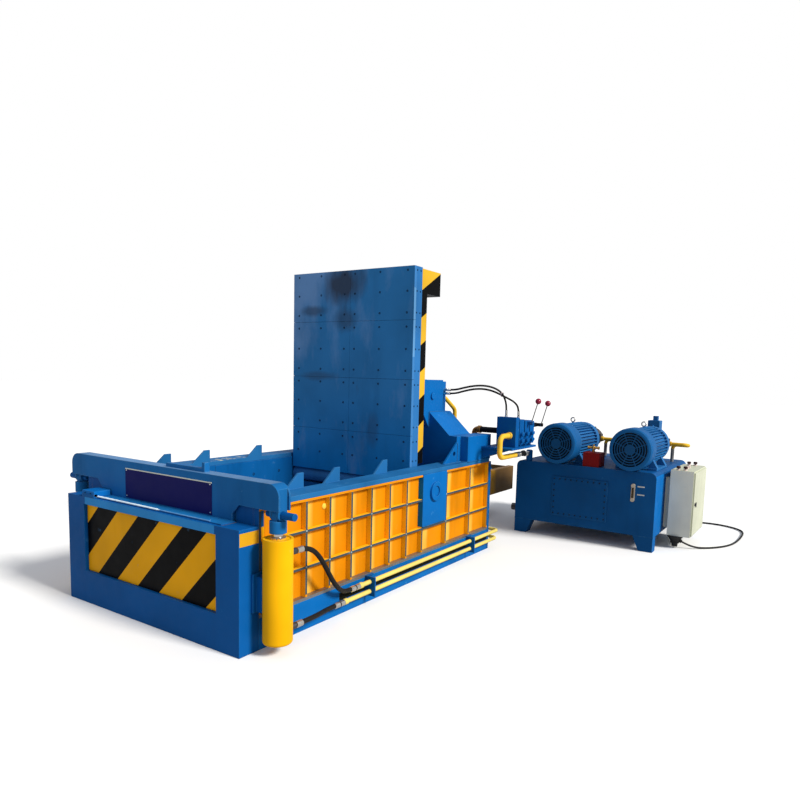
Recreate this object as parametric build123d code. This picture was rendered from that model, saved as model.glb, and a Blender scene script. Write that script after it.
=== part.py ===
from build123d import *
import os
from math import atan2, cos, degrees, hypot, pi, radians, sin, tan

# Recycling baler: a horizontal press for scrap metal, in millimetres
# The origin lies on the floor, under the middle of the gate frame
# +X runs back along the press, +Y to the far side and +Z up

# Clearances
run_fit = 0.05        # radial play of a pin or rod in its bore
slide_gap = 0.5       # play of the gate and the ram in their guides
free_gap = 3.0        # side play of a part between two cheeks

# Press body
frame_depth = 150.0   # gate frame, front to back
half_width = 879.0
frame_height = 750.0
body_end = 2971.0     # rear end of the base and walls
base_height = 214.0
base_wall = 20.0
floor_thickness = 20.0
floor_wear = 10.0     # raised wear plate of the chamber floor
wall_top = 853.0
chamber_half = 680.0
wear_plate = 10.0
inner_plate = 22.0
skin_thickness = 12.0
rib_depth = 40.0
rib_thickness = 16.0
rib_pitch = 224.5
first_rib = 250.0
lower_rib_z = 410.0
upper_rib_z = 646.0
flange_thickness = 34.0
fin_length = 168.0
fin_flat = 50.0       # flat top at the rear end of a fin
fin_height = 100.0
fin_thickness = 16.0
fin_places = (457.0, 824.0, 1392.0)

# Lid
hinge_x = 1995.0
hinge_z = 700.0
hinge_pin_radius = 45.0
hinge_tube_radius = 64.0
lid_face = 66.0       # liner face in front of the hinge axis
lid_half = 668.0
lid_top = 2536.0
liner_thickness = 30.0
liner_joints = (1144.0, 1613.0, 2102.0)
lid_frame_depth = 86.0
lid_rail_depth = 85.0
lid_bar = 40.0
lid_rail_bottom = 900.0
tip_bottom = 2330.0
tip_reach = 340.0     # back of the tip box behind the hinge axis
lug_offset = 90.0     # lid lug behind the hinge axis
lug_height = 260.0    # lid lug above the hinge axis
cylinder_y = 390.0
rib_gap = 160.0       # between the two lug ribs
lid_rib = 20.0

# Lid cylinders
cheek_pin_x = 2525.0
cheek_pin_z = 1466.0
cheek_pin_radius = 30.0
cheek_thickness = 28.0
lid_barrel_radius = 65.0
lid_rod_radius = 32.0
lid_barrel_length = 520.0
lid_eye_radius = 42.0
lid_eye_width = 60.0
barrel_eye_width = 150.0

# Rear bridge
bridge_front = 2475.0
bridge_back = 2850.0
block_front = 2543.0
block_back = 2985.0
block_top = 1116.0
bridge_top = 1320.0
bridge_plate = 25.0
roof_front = 2080.0
roof_bottom = 640.0
roof_thickness = 25.0

# Gate
window_half = 682.0
window_bottom = 224.0
lintel_height = 52.0
front_plate = 25.0
gate_thickness = 105.0
gate_half = 700.0
gate_top = 7.0        # gate above the frame
beam_thickness = 95.0
beam_height = 256.0
beam_half = 1056.0
beam_plate = 12.0
beam_foot = 670.0     # half width of the beam between the walls
arm_gap = 4.0         # beam's arms above the walls
gate_stroke = 480.0
gate_axis_y = 1005.0
gate_barrel_radius = 88.0
gate_barrel_bottom = 70.0
gate_rod_radius = 30.0
gate_pin_radius = 22.0
rod_end_radius = 50.0
rod_end_height = 72.0
tongue_width = 36.0
lug_gap = 2.0         # play of the rod eye between its lugs
lug_width = 16.0

# Ram and main cylinder
ram_front = 1945.0
ram_length = 600.0
ram_half = 674.0
ram_top = 628.0
ram_stroke = 1500.0
ram_axis_z = 424.0
ram_rod_radius = 80.0
main_radius = 130.0
main_end = 4725.0
crosshead_thickness = 40.0
frame_half = 320.0
frame_low = 296.0
frame_high = 580.0

# Valve stand
shelf_top = 1013.0
shelf_thickness = 18.0
shelf_start = 2797.0
valve_front = 2925.0
valve_end = 3345.0
valve_near = 1165.0   # near side of the valve, towards the operator
valve_depth = 200.0
manifold_top = 1290.0
manifold_length = 70.0
lever_places = ((3185.0, 1228.0), (3422.0, 1204.0))
lever_tilt = 16.0
lever_length = 200.0
knob_radius = 28.0

# Pipes and hoses
pipe_radius = 16.0
pipe_y = 925.0
upper_pipe_z = 168.0
lower_pipe_z = 98.0
hose_radius = 16.0
arch_radius = 9.0
return_radius = 22.0
valve_pipe_radius = 24.0

# Power unit
tank_front = 3861.0
tank_back = 5250.0
tank_far = 763.0      # tank side nearer to the press, measured towards -Y
tank_near = 2230.0
tank_bottom = 145.0
tank_top = 779.0
tank_wall = 6.0
tank_corner = 60.0
leg_depth = 110.0
motor_y = (-1225.0, -1980.0)
motor_z = 995.0
motor_front = 3775.0
cowl_length = 190.0
cowl_radius = 210.0
stator_length = 560.0
stator_radius = 165.0
fin_radius = 196.0
motor_fins = 36
shield_length = 80.0
bell_length = 160.0
pump_length = 300.0
shaft_radius = 25.0

# Cabinet
cabinet_front = 4175.0
cabinet_length = 610.0
cabinet_gap = 60.0    # stand-off from the tank
cabinet_depth = 220.0
cabinet_bottom = 130.0
cabinet_top = 790.0
sheet = 3.0
door_thickness = 14.0

# Cable
cable_radius = 9.0


def block(x, y, z):
    """Box between pairs of limits along X, Y and Z."""
    size = Box(x[1] - x[0], y[1] - y[0], z[1] - z[0])
    return Pos((x[0] + x[1]) / 2, (y[0] + y[1]) / 2, (z[0] + z[1]) / 2) * size


def bar(axis, start, end, centre, radius):
    """Round bar along one axis between two limits."""
    body = Cylinder(radius, end - start)
    middle = (start + end) / 2
    if axis == "X":
        return Pos(middle, centre[0], centre[1]) * Rot(0, 90, 0) * body
    if axis == "Y":
        return Pos(centre[0], middle, centre[1]) * Rot(90, 0, 0) * body
    return Pos(centre[0], centre[1], middle) * body


def side_plate(outline, y_low, y_high):
    """Plate whose outline is given in X and Z."""
    plane = Plane(origin=(0, y_high, 0), x_dir=(1, 0, 0), z_dir=(0, -1, 0))
    return extrude(plane * make_face(Polyline(*outline, close=True)), y_high - y_low)


def cross_plate(outline, x_low, x_high):
    """Plate whose outline is given in Y and Z."""
    plane = Plane(origin=(x_low, 0, 0), x_dir=(0, 1, 0), z_dir=(1, 0, 0))
    return extrude(plane * make_face(Polyline(*outline, close=True)), x_high - x_low)


def mirrored(solid):
    """The same piece on the far side."""
    return mirror(solid, about=Plane.XZ)


def both_sides(solid):
    return [solid, mirrored(solid)]


def corner_radii(points, limit=None):
    """Bend radius at each corner of a route."""
    radii = []
    for before, corner, after in zip(points, points[1:], points[2:]):
        first = Vector(*corner) - Vector(*before)
        second = Vector(*after) - Vector(*corner)
        turn = first.get_angle(second)
        radius = 0.45 * min(first.length, second.length) / tan(radians(turn) / 2)
        radii.append(min(radius, limit) if limit else radius)
    return radii


def tube(points, radius, bend=None):
    """Round tube along straight runs joined by arcs."""
    path = FilletPolyline(*points, radius=corner_radii(points, bend))
    section = Plane(origin=path @ 0, z_dir=path % 0) * Circle(radius)
    return sweep(section, path=path)


def solids_of(pieces):
    found = []
    for piece in pieces:
        found.extend(piece.solids())
    return found


os.makedirs("parts", exist_ok=True)


def save(name, *pieces):
    """Write one node, with each of its pieces as a separate solid."""
    flat = []
    for piece in pieces:
        flat.extend(piece if isinstance(piece, (list, tuple)) else [piece])
    export_step(Compound(children=solids_of(flat)), f"parts/{name}.step")


cabinet_far = tank_near + cabinet_gap
cabinet_near = cabinet_far + cabinet_depth
window_top = frame_height - lintel_height
slot_start = -frame_depth / 2 + front_plate
gate_top_z = frame_height + gate_top
beam_front = slot_start + slide_gap + gate_thickness
beam_back = beam_front + beam_thickness
beam_top = gate_top_z + beam_height
arm_low = wall_top + arm_gap
gate_axis_x = beam_front + beam_thickness / 2
gate_pin_z = arm_low - 25.0
rod_end_top = gate_pin_z - 34.0
rod_end_low = rod_end_top - rod_end_height
gate_barrel_top = rod_end_low - 31.0
frame_front = -frame_depth / 2
frame_back = frame_depth / 2
floor_z = base_height + floor_wear
skin_outer = half_width - rib_depth
skin_inner = skin_outer - skin_thickness
plate_inner = chamber_half + wear_plate
plate_outer = plate_inner + inner_plate
flange_top = wall_top + flange_thickness


def base_frame():
    deck = base_height - floor_thickness
    body = block((frame_back, body_end), (-half_width, half_width), (0, deck))
    columns, rows = 8, 4
    pitch = (body_end - frame_back - base_wall) / columns
    width = (2 * half_width - base_wall) / rows
    for i in range(columns):
        start = frame_back + base_wall + i * pitch
        for j in range(rows):
            side = -half_width + base_wall + j * width
            cell = (side, side + width - base_wall)
            body -= block((start, start + pitch - base_wall), cell, (base_wall, deck))
    return body


def floor_plate():
    deck = block((frame_back, body_end), (-half_width, half_width),
                 (base_height - floor_thickness, base_height))
    wear = block((frame_back, body_end), (-chamber_half, chamber_half), (base_height, floor_z))
    return deck + wear


def pin_hole(y_low, y_high):
    return bar("Y", y_low, y_high, (hinge_x, hinge_z), hinge_pin_radius + run_fit)


plate_start = hinge_x - 181.0
plate_end = hinge_x + 185.0
plate_low = 426.0
rear_rib = 2604.0
rib_places = [first_rib + i * rib_pitch for i in range(7)] + [plate_end + rib_thickness, rear_rib]


def side_wall():
    """Inner plate with its upright webs, near side."""
    wall = block((frame_back, body_end), (-plate_outer, -plate_inner), (base_height, wall_top))
    half = rib_thickness / 2
    for x in (frame_back + half, *rib_places, body_end - half):
        wall += block((x - half, x + half), (-skin_inner, -plate_outer), (base_height, wall_top))
    wall += bar("Y", -skin_inner, -plate_outer, (hinge_x, hinge_z), hinge_tube_radius + 26)
    return wall - pin_hole(-half_width, -plate_inner)


def wall_panel():
    panel = block((frame_back, body_end), (-skin_outer, -skin_inner), (base_height, wall_top))
    return panel - pin_hole(-half_width, -plate_inner)


def wall_ribs():
    """Lattice of flat ribs on the outside of the near wall."""
    outer, inner = -half_width, -skin_outer
    half = rib_thickness / 2
    lattice = block((frame_back, body_end), (outer, inner), (lower_rib_z - half, lower_rib_z + half))
    for x in (frame_back + half, *rib_places, body_end - half):
        lattice += block((x - half, x + half), (outer, inner), (base_height, wall_top))
    lattice += block((plate_start, plate_start + rib_thickness), (outer, inner), (base_height, plate_low))
    for z in (upper_rib_z, wall_top - half):
        lattice += block((frame_back, plate_start), (outer, inner), (z - half, z + half))
        lattice += block((plate_end, body_end), (outer, inner), (z - half, z + half))
    return lattice


def hinge_plate():
    """Outer hinge plate with the round pin boss."""
    boss_radius = 79.0
    plate = block((plate_start, plate_end), (-half_width - 6, -skin_outer), (plate_low, wall_top))
    boss = bar("Y", -half_width - 26, -skin_outer, (hinge_x, hinge_z), boss_radius)
    return plate + boss - pin_hole(-half_width - 26, -skin_outer)


def top_flange():
    """Flat flange on the near wall, with three guide fins for the lid."""
    flange = block((frame_back + 100, body_end), (-half_width, -plate_inner), (wall_top, flange_top))
    for x in fin_places:
        outline = [(x, flange_top), (x + fin_length, flange_top), (x + fin_length, flange_top + fin_height),
                   (x + fin_length - fin_flat, flange_top + fin_height)]
        flange += side_plate(outline, -plate_inner - fin_thickness, -plate_inner)
    return flange


def wear_liner():
    """Wear plates inside the near wall, in three lengths with narrow joints."""
    lengths = 3
    pitch = (body_end - frame_back) / lengths
    plates = []
    for i in range(lengths):
        start = frame_back + i * pitch
        plate = block((start, start + pitch - 2), (-plate_inner, -chamber_half), (floor_z, wall_top))
        plates.append(plate - pin_hole(-plate_inner, -chamber_half))
    return plates


def gate_frame():
    """Front frame with the bale window and the slot for the gate."""
    body = block((frame_front, frame_back), (-half_width, half_width), (0, frame_height))
    body -= block((frame_front, frame_back), (-window_half, window_half), (window_bottom, window_top))
    body -= block((slot_start, frame_back), (-window_half, window_half), (window_bottom, frame_height))
    slot = gate_half + 12 + slide_gap
    return body - block((slot_start, slot_start + gate_thickness + 2 * slide_gap), (-slot, slot),
                        (base_height, frame_height))


def gate_guides():
    """Wear strips beside the gate, and the guide block on the ledge."""
    strips = []
    for side in (-1, 1):
        near, far = gate_half + slide_gap, gate_half + slide_gap + 12
        limits = (near, far) if side > 0 else (-far, -near)
        strips.append(block((slot_start, slot_start + gate_thickness + 2 * slide_gap), limits,
                            (base_height, frame_height)))
    ledge = block((frame_front, slot_start), (560, 700), (frame_height, frame_height + 26))
    for y in (595, 665):
        ledge += bar("Z", frame_height + 26, frame_height + 36, (frame_front + front_plate / 2, y), 9)
    return strips + [ledge]


def gate_panel():
    """Closing plate of the gate, flat on both faces, with a lead-in along its foot."""
    front = slot_start + slide_gap
    body = block((front, beam_front), (-gate_half, gate_half), (base_height, gate_top_z))
    foot = body.edges().filter_by(Axis.Y).group_by(Axis.Z)[0]
    return chamfer(foot.sort_by(Axis.X)[0], 12)


def lift_beam():
    """Box beam welded behind the gate's top, with arms that end in lugs for the rod ends."""
    slope = 60.0
    lower = [(-beam_foot, arm_low), (-beam_foot, window_top), (beam_foot, window_top), (beam_foot, arm_low)]
    upper = [(beam_half, arm_low), (beam_half, beam_top), (-beam_half, beam_top), (-beam_half, arm_low)]
    sloped = [(-beam_foot - slope, arm_low), (-beam_foot, arm_low - slope), *lower[1:3],
              (beam_foot, arm_low - slope), (beam_foot + slope, arm_low)]
    beam = cross_plate(lower + upper, beam_front, beam_back)
    beam += cross_plate(sloped, beam_front, beam_front + beam_plate)
    ends = beam.edges().filter_by(Axis.X).filter_by(lambda e: abs(e.center().Y) > beam_half - 1)
    beam = fillet(ends.filter_by(lambda e: e.center().Z > beam_top - 1), 75)
    inside = (beam_front + beam_plate, beam_back - beam_plate)
    reach = (inside[1] - inside[0]) / 2
    inner = gate_axis_y - tongue_width / 2 - lug_gap
    outer = gate_axis_y + tongue_width / 2 + lug_gap
    for side in (-1, 1):
        for low, high in ((inner - lug_width, inner), (outer, outer + lug_width)):
            limits = sorted((side * low, side * high))
            beam += block(inside, limits, (gate_pin_z, arm_low))
            beam += bar("Y", *limits, (gate_axis_x, gate_pin_z), reach)
            beam -= bar("Y", *limits, (gate_axis_x, gate_pin_z), gate_pin_radius + run_fit)
        beam -= block(inside, sorted((side * inner, side * outer)), (arm_low, gate_pin_z + reach + lug_gap))
        beam -= block(inside, sorted((side * (outer + lug_width), side * beam_half)), (arm_low, beam_top))
    beam += block((gate_axis_x - 20, gate_axis_x + 20), (-390, -10), (beam_top, beam_top + 24))
    return beam + block((gate_axis_x - 20, gate_axis_x + 20), (-390, -366), (beam_top + 24, beam_top + 60))


def rod_end(side):
    """Round rod end with a flat eye between the beam's lugs."""
    y = side * gate_axis_y
    half = tongue_width / 2
    reach = beam_thickness / 2 - beam_plate - lug_gap
    body = bar("Z", rod_end_low, rod_end_top, (gate_axis_x, y), rod_end_radius)
    body += block((gate_axis_x - reach, gate_axis_x + reach), (y - half, y + half), (rod_end_top, gate_pin_z))
    body += bar("Y", y - half, y + half, (gate_axis_x, gate_pin_z), reach)
    return body - bar("Y", y - half, y + half, (gate_axis_x, gate_pin_z), gate_pin_radius + run_fit)


def clevis_pin(side):
    limits = sorted((side * (gate_axis_y - 80), side * (gate_axis_y + 132)))
    return bar("Y", *limits, (gate_axis_x, gate_pin_z), gate_pin_radius)


gate_bore = gate_barrel_radius - 16
gate_port_x = gate_axis_x + gate_barrel_radius + 14
gate_port_z = (130.0, 590.0)


def gate_rod(side):
    """Chrome rod with its piston, screwed into the rod end."""
    y = side * gate_axis_y
    low = gate_barrel_top - gate_stroke - 110
    rod = bar("Z", low, rod_end_low, (gate_axis_x, y), gate_rod_radius)
    return rod + bar("Z", low, low + 40, (gate_axis_x, y), gate_bore - run_fit)


def gate_barrel(side):
    """Cylinder barrel with a closed foot and two ports towards the rear."""
    y = side * gate_axis_y
    x = gate_axis_x
    barrel = bar("Z", gate_barrel_bottom, gate_barrel_top, (x, y), gate_barrel_radius)
    barrel = fillet(barrel.edges().group_by(Axis.Z)[0], 18)
    barrel -= bar("Z", gate_barrel_bottom + 22, gate_barrel_top, (x, y), gate_bore)
    for z in gate_port_z:
        barrel += bar("X", x + gate_barrel_radius - 6, gate_port_x, (y, z), 20)
    return barrel


def gate_gland(side):
    y = side * gate_axis_y
    x = gate_axis_x
    gland = bar("Z", gate_barrel_top - 60, gate_barrel_top - 4, (x, y), gate_bore - run_fit)
    gland += bar("Z", gate_barrel_top - 4, gate_barrel_top + 8, (x, y), gate_rod_radius + 16)
    return gland - bar("Z", gate_barrel_top - 60, gate_barrel_top + 8, (x, y), gate_rod_radius + run_fit)


def cylinder_bracket():
    """Welded saddle that holds the near gate cylinder to the frame."""
    x, y = gate_axis_x, -gate_axis_y
    low, high = 250.0, 460.0
    back = block((frame_front + 88, x + 100), (-half_width - 16, -half_width), (low - 3, high + 18))
    saddle = block((x - 62, x + 62), (y + 50, -half_width - 16), (low, high))
    saddle -= bar("Z", low, high, (x, y), gate_barrel_radius + run_fit)
    bracket = back + saddle
    for z in (low + 45, high - 45):
        bracket += bar("Y", -half_width - 28, -half_width - 16, (x + 80, z), 13)
    return bracket


def lid_liner():
    """Wear plates on the pressing face of the lid, with narrow joints between them."""
    front = hinge_x - lid_face
    rows = (hinge_z + hinge_tube_radius, *liner_joints, lid_top)
    half_joint = 1.0
    plates = []
    for low, high in zip(rows, rows[1:]):
        for limits in ((-lid_half, -half_joint), (half_joint, lid_half)):
            end = high if high == lid_top else high - 2 * half_joint
            plates.append(block((front, front + liner_thickness), limits, (low, end)))
    return plates


def lid_frame():
    """Welded grid behind the liner, with the hinge tube and the lug ribs."""
    start = hinge_x - lid_face + liner_thickness
    end = start + lid_frame_depth
    rail_end = end + lid_rail_depth
    inner = lid_half - lid_bar
    frame = block((start, end), (-lid_half, -inner), (hinge_z, lid_top))
    frame += block((start, end), (inner, lid_half), (hinge_z, lid_top))
    frame += block((start, end), (-inner, inner), (lid_top - lid_bar, lid_top))
    near, far = cylinder_y - rib_gap / 2, cylinder_y + rib_gap / 2
    for side in (-1, 1):
        for low, high in ((near - lid_rib, near), (far, far + lid_rib)):
            y = (low, high) if side > 0 else (-high, -low)
            outline = [(start, hinge_z), (hinge_x + 40, hinge_z), (rail_end, hinge_z + 150),
                       (rail_end, tip_bottom - 40), (end, tip_bottom - 40), (end, lid_top - 1),
                       (start, lid_top - 1)]
            frame += side_plate(outline, *y)
    for z in (1300.0, 1640.0, 1980.0, tip_bottom - 30):
        frame += block((start, end), (-inner, inner), (z, z + lid_rib))
    for low, high in ((-inner, -far), (-near, near), (far, inner)):
        frame += block((start, end), (low, high), (hinge_z + 240, hinge_z + 240 + lid_rib))
    frame += bar("Y", -lid_half, lid_half, (hinge_x, hinge_z), hinge_tube_radius)
    frame -= bar("Y", -lid_half, lid_half, (hinge_x, hinge_z), hinge_pin_radius + run_fit)
    lug = (hinge_x + lug_offset, hinge_z + lug_height)
    for low, high in ((near - lid_rib - 18, near - lid_rib), (far + lid_rib, far + lid_rib + 18)):
        frame += bar("Y", low, high, lug, 38)
        frame += bar("Y", -high, -low, lug, 38)
    return frame


def lid_rails():
    """Side rails and the tip box on the back of the lid."""
    start = hinge_x - lid_face + liner_thickness + lid_frame_depth
    back = hinge_x + tip_reach
    rail_end = start + lid_rail_depth
    outer = lid_half - 4
    outline = [(start, lid_rail_bottom), (rail_end, lid_rail_bottom), (rail_end, tip_bottom),
               (back, tip_bottom), (back, lid_top - 8), (start, lid_top - 8)]
    rails = side_plate(outline, -outer, -outer + 15)
    rails += side_plate(outline, outer - 15, outer)
    rails += block((back - 15, back), (-outer, outer), (tip_bottom, lid_top - 8))
    rails += block((start, back), (-outer, outer), (tip_bottom, tip_bottom + 15))
    rails += block((start, back), (-outer, outer), (lid_top - 23, lid_top - 8))
    return rails


lug_x = hinge_x + lug_offset
lug_z = hinge_z + lug_height
rod_angle = degrees(atan2(lug_z - cheek_pin_z, lug_x - cheek_pin_x))
closed_length = hypot(lug_x - cheek_pin_x, lug_z - cheek_pin_z)


def along_cylinder(piece, y):
    """Turn a piece built along +X from the cheek pin to the lid cylinder's line."""
    return Pos(cheek_pin_x, y, cheek_pin_z) * Rot(0, -rod_angle, 0) * piece


def lid_barrel(y):
    eye = bar("Y", -barrel_eye_width / 2, barrel_eye_width / 2, (0, 0), 55)
    body = bar("X", 30, 30 + lid_barrel_length, (0, 0), lid_barrel_radius)
    body += bar("X", 30 + lid_barrel_length, 48 + lid_barrel_length, (0, 0), lid_barrel_radius - 8)
    body += bar("Z", lid_barrel_radius - 6, lid_barrel_radius + 14, (90, 0), 16)
    body -= bar("X", 110, 48 + lid_barrel_length, (0, 0), lid_rod_radius + run_fit)
    body += eye
    body -= bar("Y", -barrel_eye_width, barrel_eye_width, (0, 0), cheek_pin_radius + run_fit)
    return along_cylinder(body, y)


def lid_rod(y):
    rod = bar("X", 112, closed_length - 20, (0, 0), lid_rod_radius)
    rod += Pos(closed_length, 0, 0) * Rot(90, 0, 0) * Cylinder(lid_eye_radius, lid_eye_width)
    rod -= Pos(closed_length, 0, 0) * Rot(90, 0, 0) * Cylinder(25, lid_eye_width)
    return along_cylinder(rod, y)


cheek_front = cheek_pin_x - 139.0
cheek_back = cheek_pin_x + 182.0
cheek_top = cheek_pin_z + 148.0


def cheek(y_low, y_high):
    outline = [(cheek_front, bridge_top - 20), (cheek_front, cheek_top), (cheek_back, cheek_top),
               (cheek_back, bridge_top), (bridge_front, bridge_top), (bridge_front, bridge_top - 140)]
    return side_plate(outline, y_low, y_high)


def rear_bridge():
    """Bridge behind the lid, welded from plates: tower, side blocks, cheeks, gussets and roof."""
    half, low_side = 800.0, 1116.0
    shoulder = [(-half, flange_top), (-half, low_side), (-720, 1120), (-500, bridge_top), (500, bridge_top),
                (720, 1120), (half, low_side), (half, flange_top)]
    inner_half, inner_side = half - bridge_plate, low_side - 24
    inside = [(-inner_half, flange_top), (-inner_half, inner_side), (-712, inner_side),
              (-490, bridge_top - bridge_plate), (490, bridge_top - bridge_plate), (712, inner_side),
              (inner_half, inner_side), (inner_half, flange_top)]
    inner = chamber_half
    web_start = bridge_front + bridge_plate
    roof_top = roof_bottom + roof_thickness
    front = cross_plate(shoulder, bridge_front, web_start)
    front += block((bridge_front, web_start), (-inner, inner), (roof_top, flange_top))
    cover = cross_plate(shoulder, web_start, bridge_back) - cross_plate(inside, web_start, bridge_back)
    for y in (-cylinder_y, cylinder_y):
        bay = (y - barrel_eye_width / 2, y + barrel_eye_width / 2)
        front -= block((bridge_front, web_start), bay, (bridge_top - 90, bridge_top))
        cover -= block((web_start, bridge_front + 130), bay, (bridge_top - 90, bridge_top))
    plates = [front, cover]
    for y in (-490, -298, -7, 284, 476):
        plates.append(block((web_start, bridge_back), (y, y + 14), (roof_top, bridge_top - bridge_plate)))
    plates.append(block((roof_front, body_end), (-inner, inner), (roof_bottom, roof_top)))
    gap_low = cylinder_y - barrel_eye_width / 2 - free_gap
    gap_high = cylinder_y + barrel_eye_width / 2 + free_gap
    bore = bar("Y", -gap_high - 60, gap_high + 60, (cheek_pin_x, cheek_pin_z), cheek_pin_radius + run_fit)
    for low, high in ((gap_low - cheek_thickness, gap_low), (gap_high, gap_high + cheek_thickness)):
        plates.append(cheek(low, high) - bore)
        plates.append(cheek(-high, -low) - bore)
    outer = gap_high + cheek_thickness
    plates.append(block((cheek_back, cheek_back + 53), (-outer, outer), (bridge_top, cheek_top - 14)))
    side_block = block((block_front, block_back), (-half_width, -half), (flange_top, block_top))
    side_block += block((bridge_back, block_back), (-half, -720), (flange_top, block_top))
    gusset = side_plate([(2249, flange_top), (bridge_front, flange_top), (bridge_front, 1068)], -810, -790)
    gusset -= bar("Y", -810, -790, (2420, 965), 22)
    for piece in (side_block, gusset):
        plates += both_sides(piece)
    return plates


def cylinder_pin(y):
    reach = barrel_eye_width / 2 + free_gap + cheek_thickness + 14
    return bar("Y", y - reach, y + reach, (cheek_pin_x, cheek_pin_z), cheek_pin_radius)


def crosshead():
    plate = block((body_end, body_end + crosshead_thickness), (-half_width, half_width), (0, wall_top))
    return plate - bar("X", body_end, body_end + crosshead_thickness, (0, ram_axis_z), main_radius + 0.3)


def main_cylinder():
    """Barrel of the main cylinder with its mounting flange and front gland."""
    face = body_end + crosshead_thickness
    barrel = bar("X", body_end, main_end, (0, ram_axis_z), main_radius)
    barrel += bar("X", face, face + 45, (0, ram_axis_z), 190)
    barrel += bar("X", main_end - 50, main_end, (0, ram_axis_z), main_radius + 12)
    barrel -= bar("X", body_end, face + 60, (0, ram_axis_z), ram_rod_radius + run_fit)
    barrel -= bar("X", face + 60, main_end - 60, (0, ram_axis_z), main_radius - 25)
    for i in range(12):
        angle = radians(i * 30 + 15)
        centre = (165 * cos(angle), ram_axis_z + 165 * sin(angle))
        barrel += bar("X", face + 45, face + 61, centre, 14)
    return barrel


def cylinder_frame():
    """Frame of plates that carries the main cylinder behind the press."""
    face = body_end + crosshead_thickness
    wall = 20.0
    frame = block((face, main_end), (-frame_half, -frame_half + wall), (frame_low, frame_high))
    frame += block((face, main_end), (frame_half - wall, frame_half), (frame_low, frame_high))
    for low, high in ((-frame_half, -frame_half + 70), (frame_half - 70, frame_half)):
        frame += block((face, main_end), (low, high), (frame_high - 14, frame_high))
    for x in (3600.0, 4150.0, main_end - 90):
        frame += block((x, x + wall), (-frame_half, frame_half), (frame_low, frame_high))
    return frame - bar("X", face, main_end, (0, ram_axis_z), main_radius + 0.3)


def ram_head():
    """Hollow ram, open at the rear, with a thick pressing face."""
    low = floor_z + slide_gap
    end = ram_front + ram_length
    head = block((ram_front, end), (-ram_half, ram_half), (low, ram_top))
    head -= block((ram_front + 60, end), (-ram_half + 30, -12), (low + 30, ram_top - 30))
    head -= block((ram_front + 60, end), (12, ram_half - 30), (low + 30, ram_top - 30))
    return head - bar("X", ram_front + 60, end, (0, ram_axis_z), ram_rod_radius + 60)


def ram_rod():
    rod = bar("X", ram_front + 90, main_end - 80, (0, ram_axis_z), ram_rod_radius)
    flange = bar("X", ram_front + 60, ram_front + 90, (0, ram_axis_z), ram_rod_radius + 50)
    piston = bar("X", main_end - 130, main_end - 80, (0, ram_axis_z), main_radius - 25 - run_fit)
    return rod + flange + piston


def side_pipes():
    """Two steel pipes along the base, which turn in behind the press."""
    pipes = []
    face = body_end + crosshead_thickness
    for start, z, turn in ((991.0, upper_pipe_z, 3120.0), (826.0, lower_pipe_z, 3092.0)):
        route = [(start, -pipe_y, z), (turn, -pipe_y, z), (turn, -pipe_y + 150, z), (face, -pipe_y + 150, z)]
        nut = bar("X", start - 34, start, (-pipe_y, z), pipe_radius + 5)
        pipes.append(tube(route, pipe_radius, bend=48) + nut)
    return pipes


def pipe_clamps():
    clamps = []
    for x in (1080.0, 2560.0):
        length = 90.0
        clamp = block((x, x + 12), (-pipe_y - 45, -half_width), (65, 205))
        clamp += block((x, x + length), (-half_width - 12, -half_width), (193, 205))
        for z in (upper_pipe_z, lower_pipe_z):
            clamp -= bar("X", x, x + 12, (-pipe_y, z), pipe_radius + 0.3)
        clamps.append(clamp)
    return clamps


# Routes of the free hoses and of the cable
upper_hose = [(245, -1005, 590), (328, -1005, 590), (408, -1000, 556), (477, -992, 494), (540, -983, 414),
              (602, -973, 330), (670, -961, 252), (746, -944, 194), (828, -925, 168), (917, -925, 168)]
lower_hose = [(245, -1005, 130), (334, -1005, 130), (434, -990, 123), (534, -957, 109), (640, -925, 98),
              (752, -925, 98)]
arch_hose = [(2733, -520, 1524), (2733, -612, 1524), (2744, -704, 1550), (2768, -794, 1570),
             (2808, -880, 1576), (2860, -956, 1558), (2906, -1010, 1518), (2938, -1036, 1452),
             (2955, -1044, 1384), (2955, -1044, 1314)]
second_hose = [(2733, -520, 1490), (2733, -612, 1490), (2746, -702, 1518), (2772, -788, 1540),
               (2816, -868, 1545), (2872, -936, 1528), (2930, -988, 1496), (2980, -1044, 1462),
               (3016, -1098, 1428), (3040, -1130, 1374), (3040, -1130, 1304)]
return_hose = [(3111, -1100, 928), (3210, -1100, 928), (3318, -1080, 927), (3420, -1032, 919),
               (3522, -972, 902), (3626, -916, 878), (3722, -886, 858), (3822, -886, 858)]
power_cable = [(4232, -2398, 84), (4262, -2470, 42), (4312, -2556, 13), (4376, -2640, 10),
               (4470, -2722, 10), (4600, -2795, 10), (4760, -2842, 10), (4950, -2862, 10),
               (5160, -2868, 10), (5350, -2862, 10), (5470, -2832, 10), (5552, -2765, 10),
               (5610, -2680, 10), (5646, -2580, 10), (5652, -2480, 10), (5636, -2378, 10),
               (5588, -2296, 10), (5508, -2258, 10), (5410, -2256, 10), (5290, -2270, 10),
               (5130, -2300, 10), (4990, -2348, 10), (4905, -2384, 10), (4815, -2398, 12),
               (4730, -2400, 84), (4730, -2400, 188)]


def ferrule(end, inside, radius, length):
    """Hose end fitting between the hose and its port."""
    direction = (Vector(*end) - Vector(*inside)).normalized()
    middle = Vector(*end) + direction * length / 2
    return Plane(origin=middle, z_dir=direction) * Cylinder(radius, length)


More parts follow.
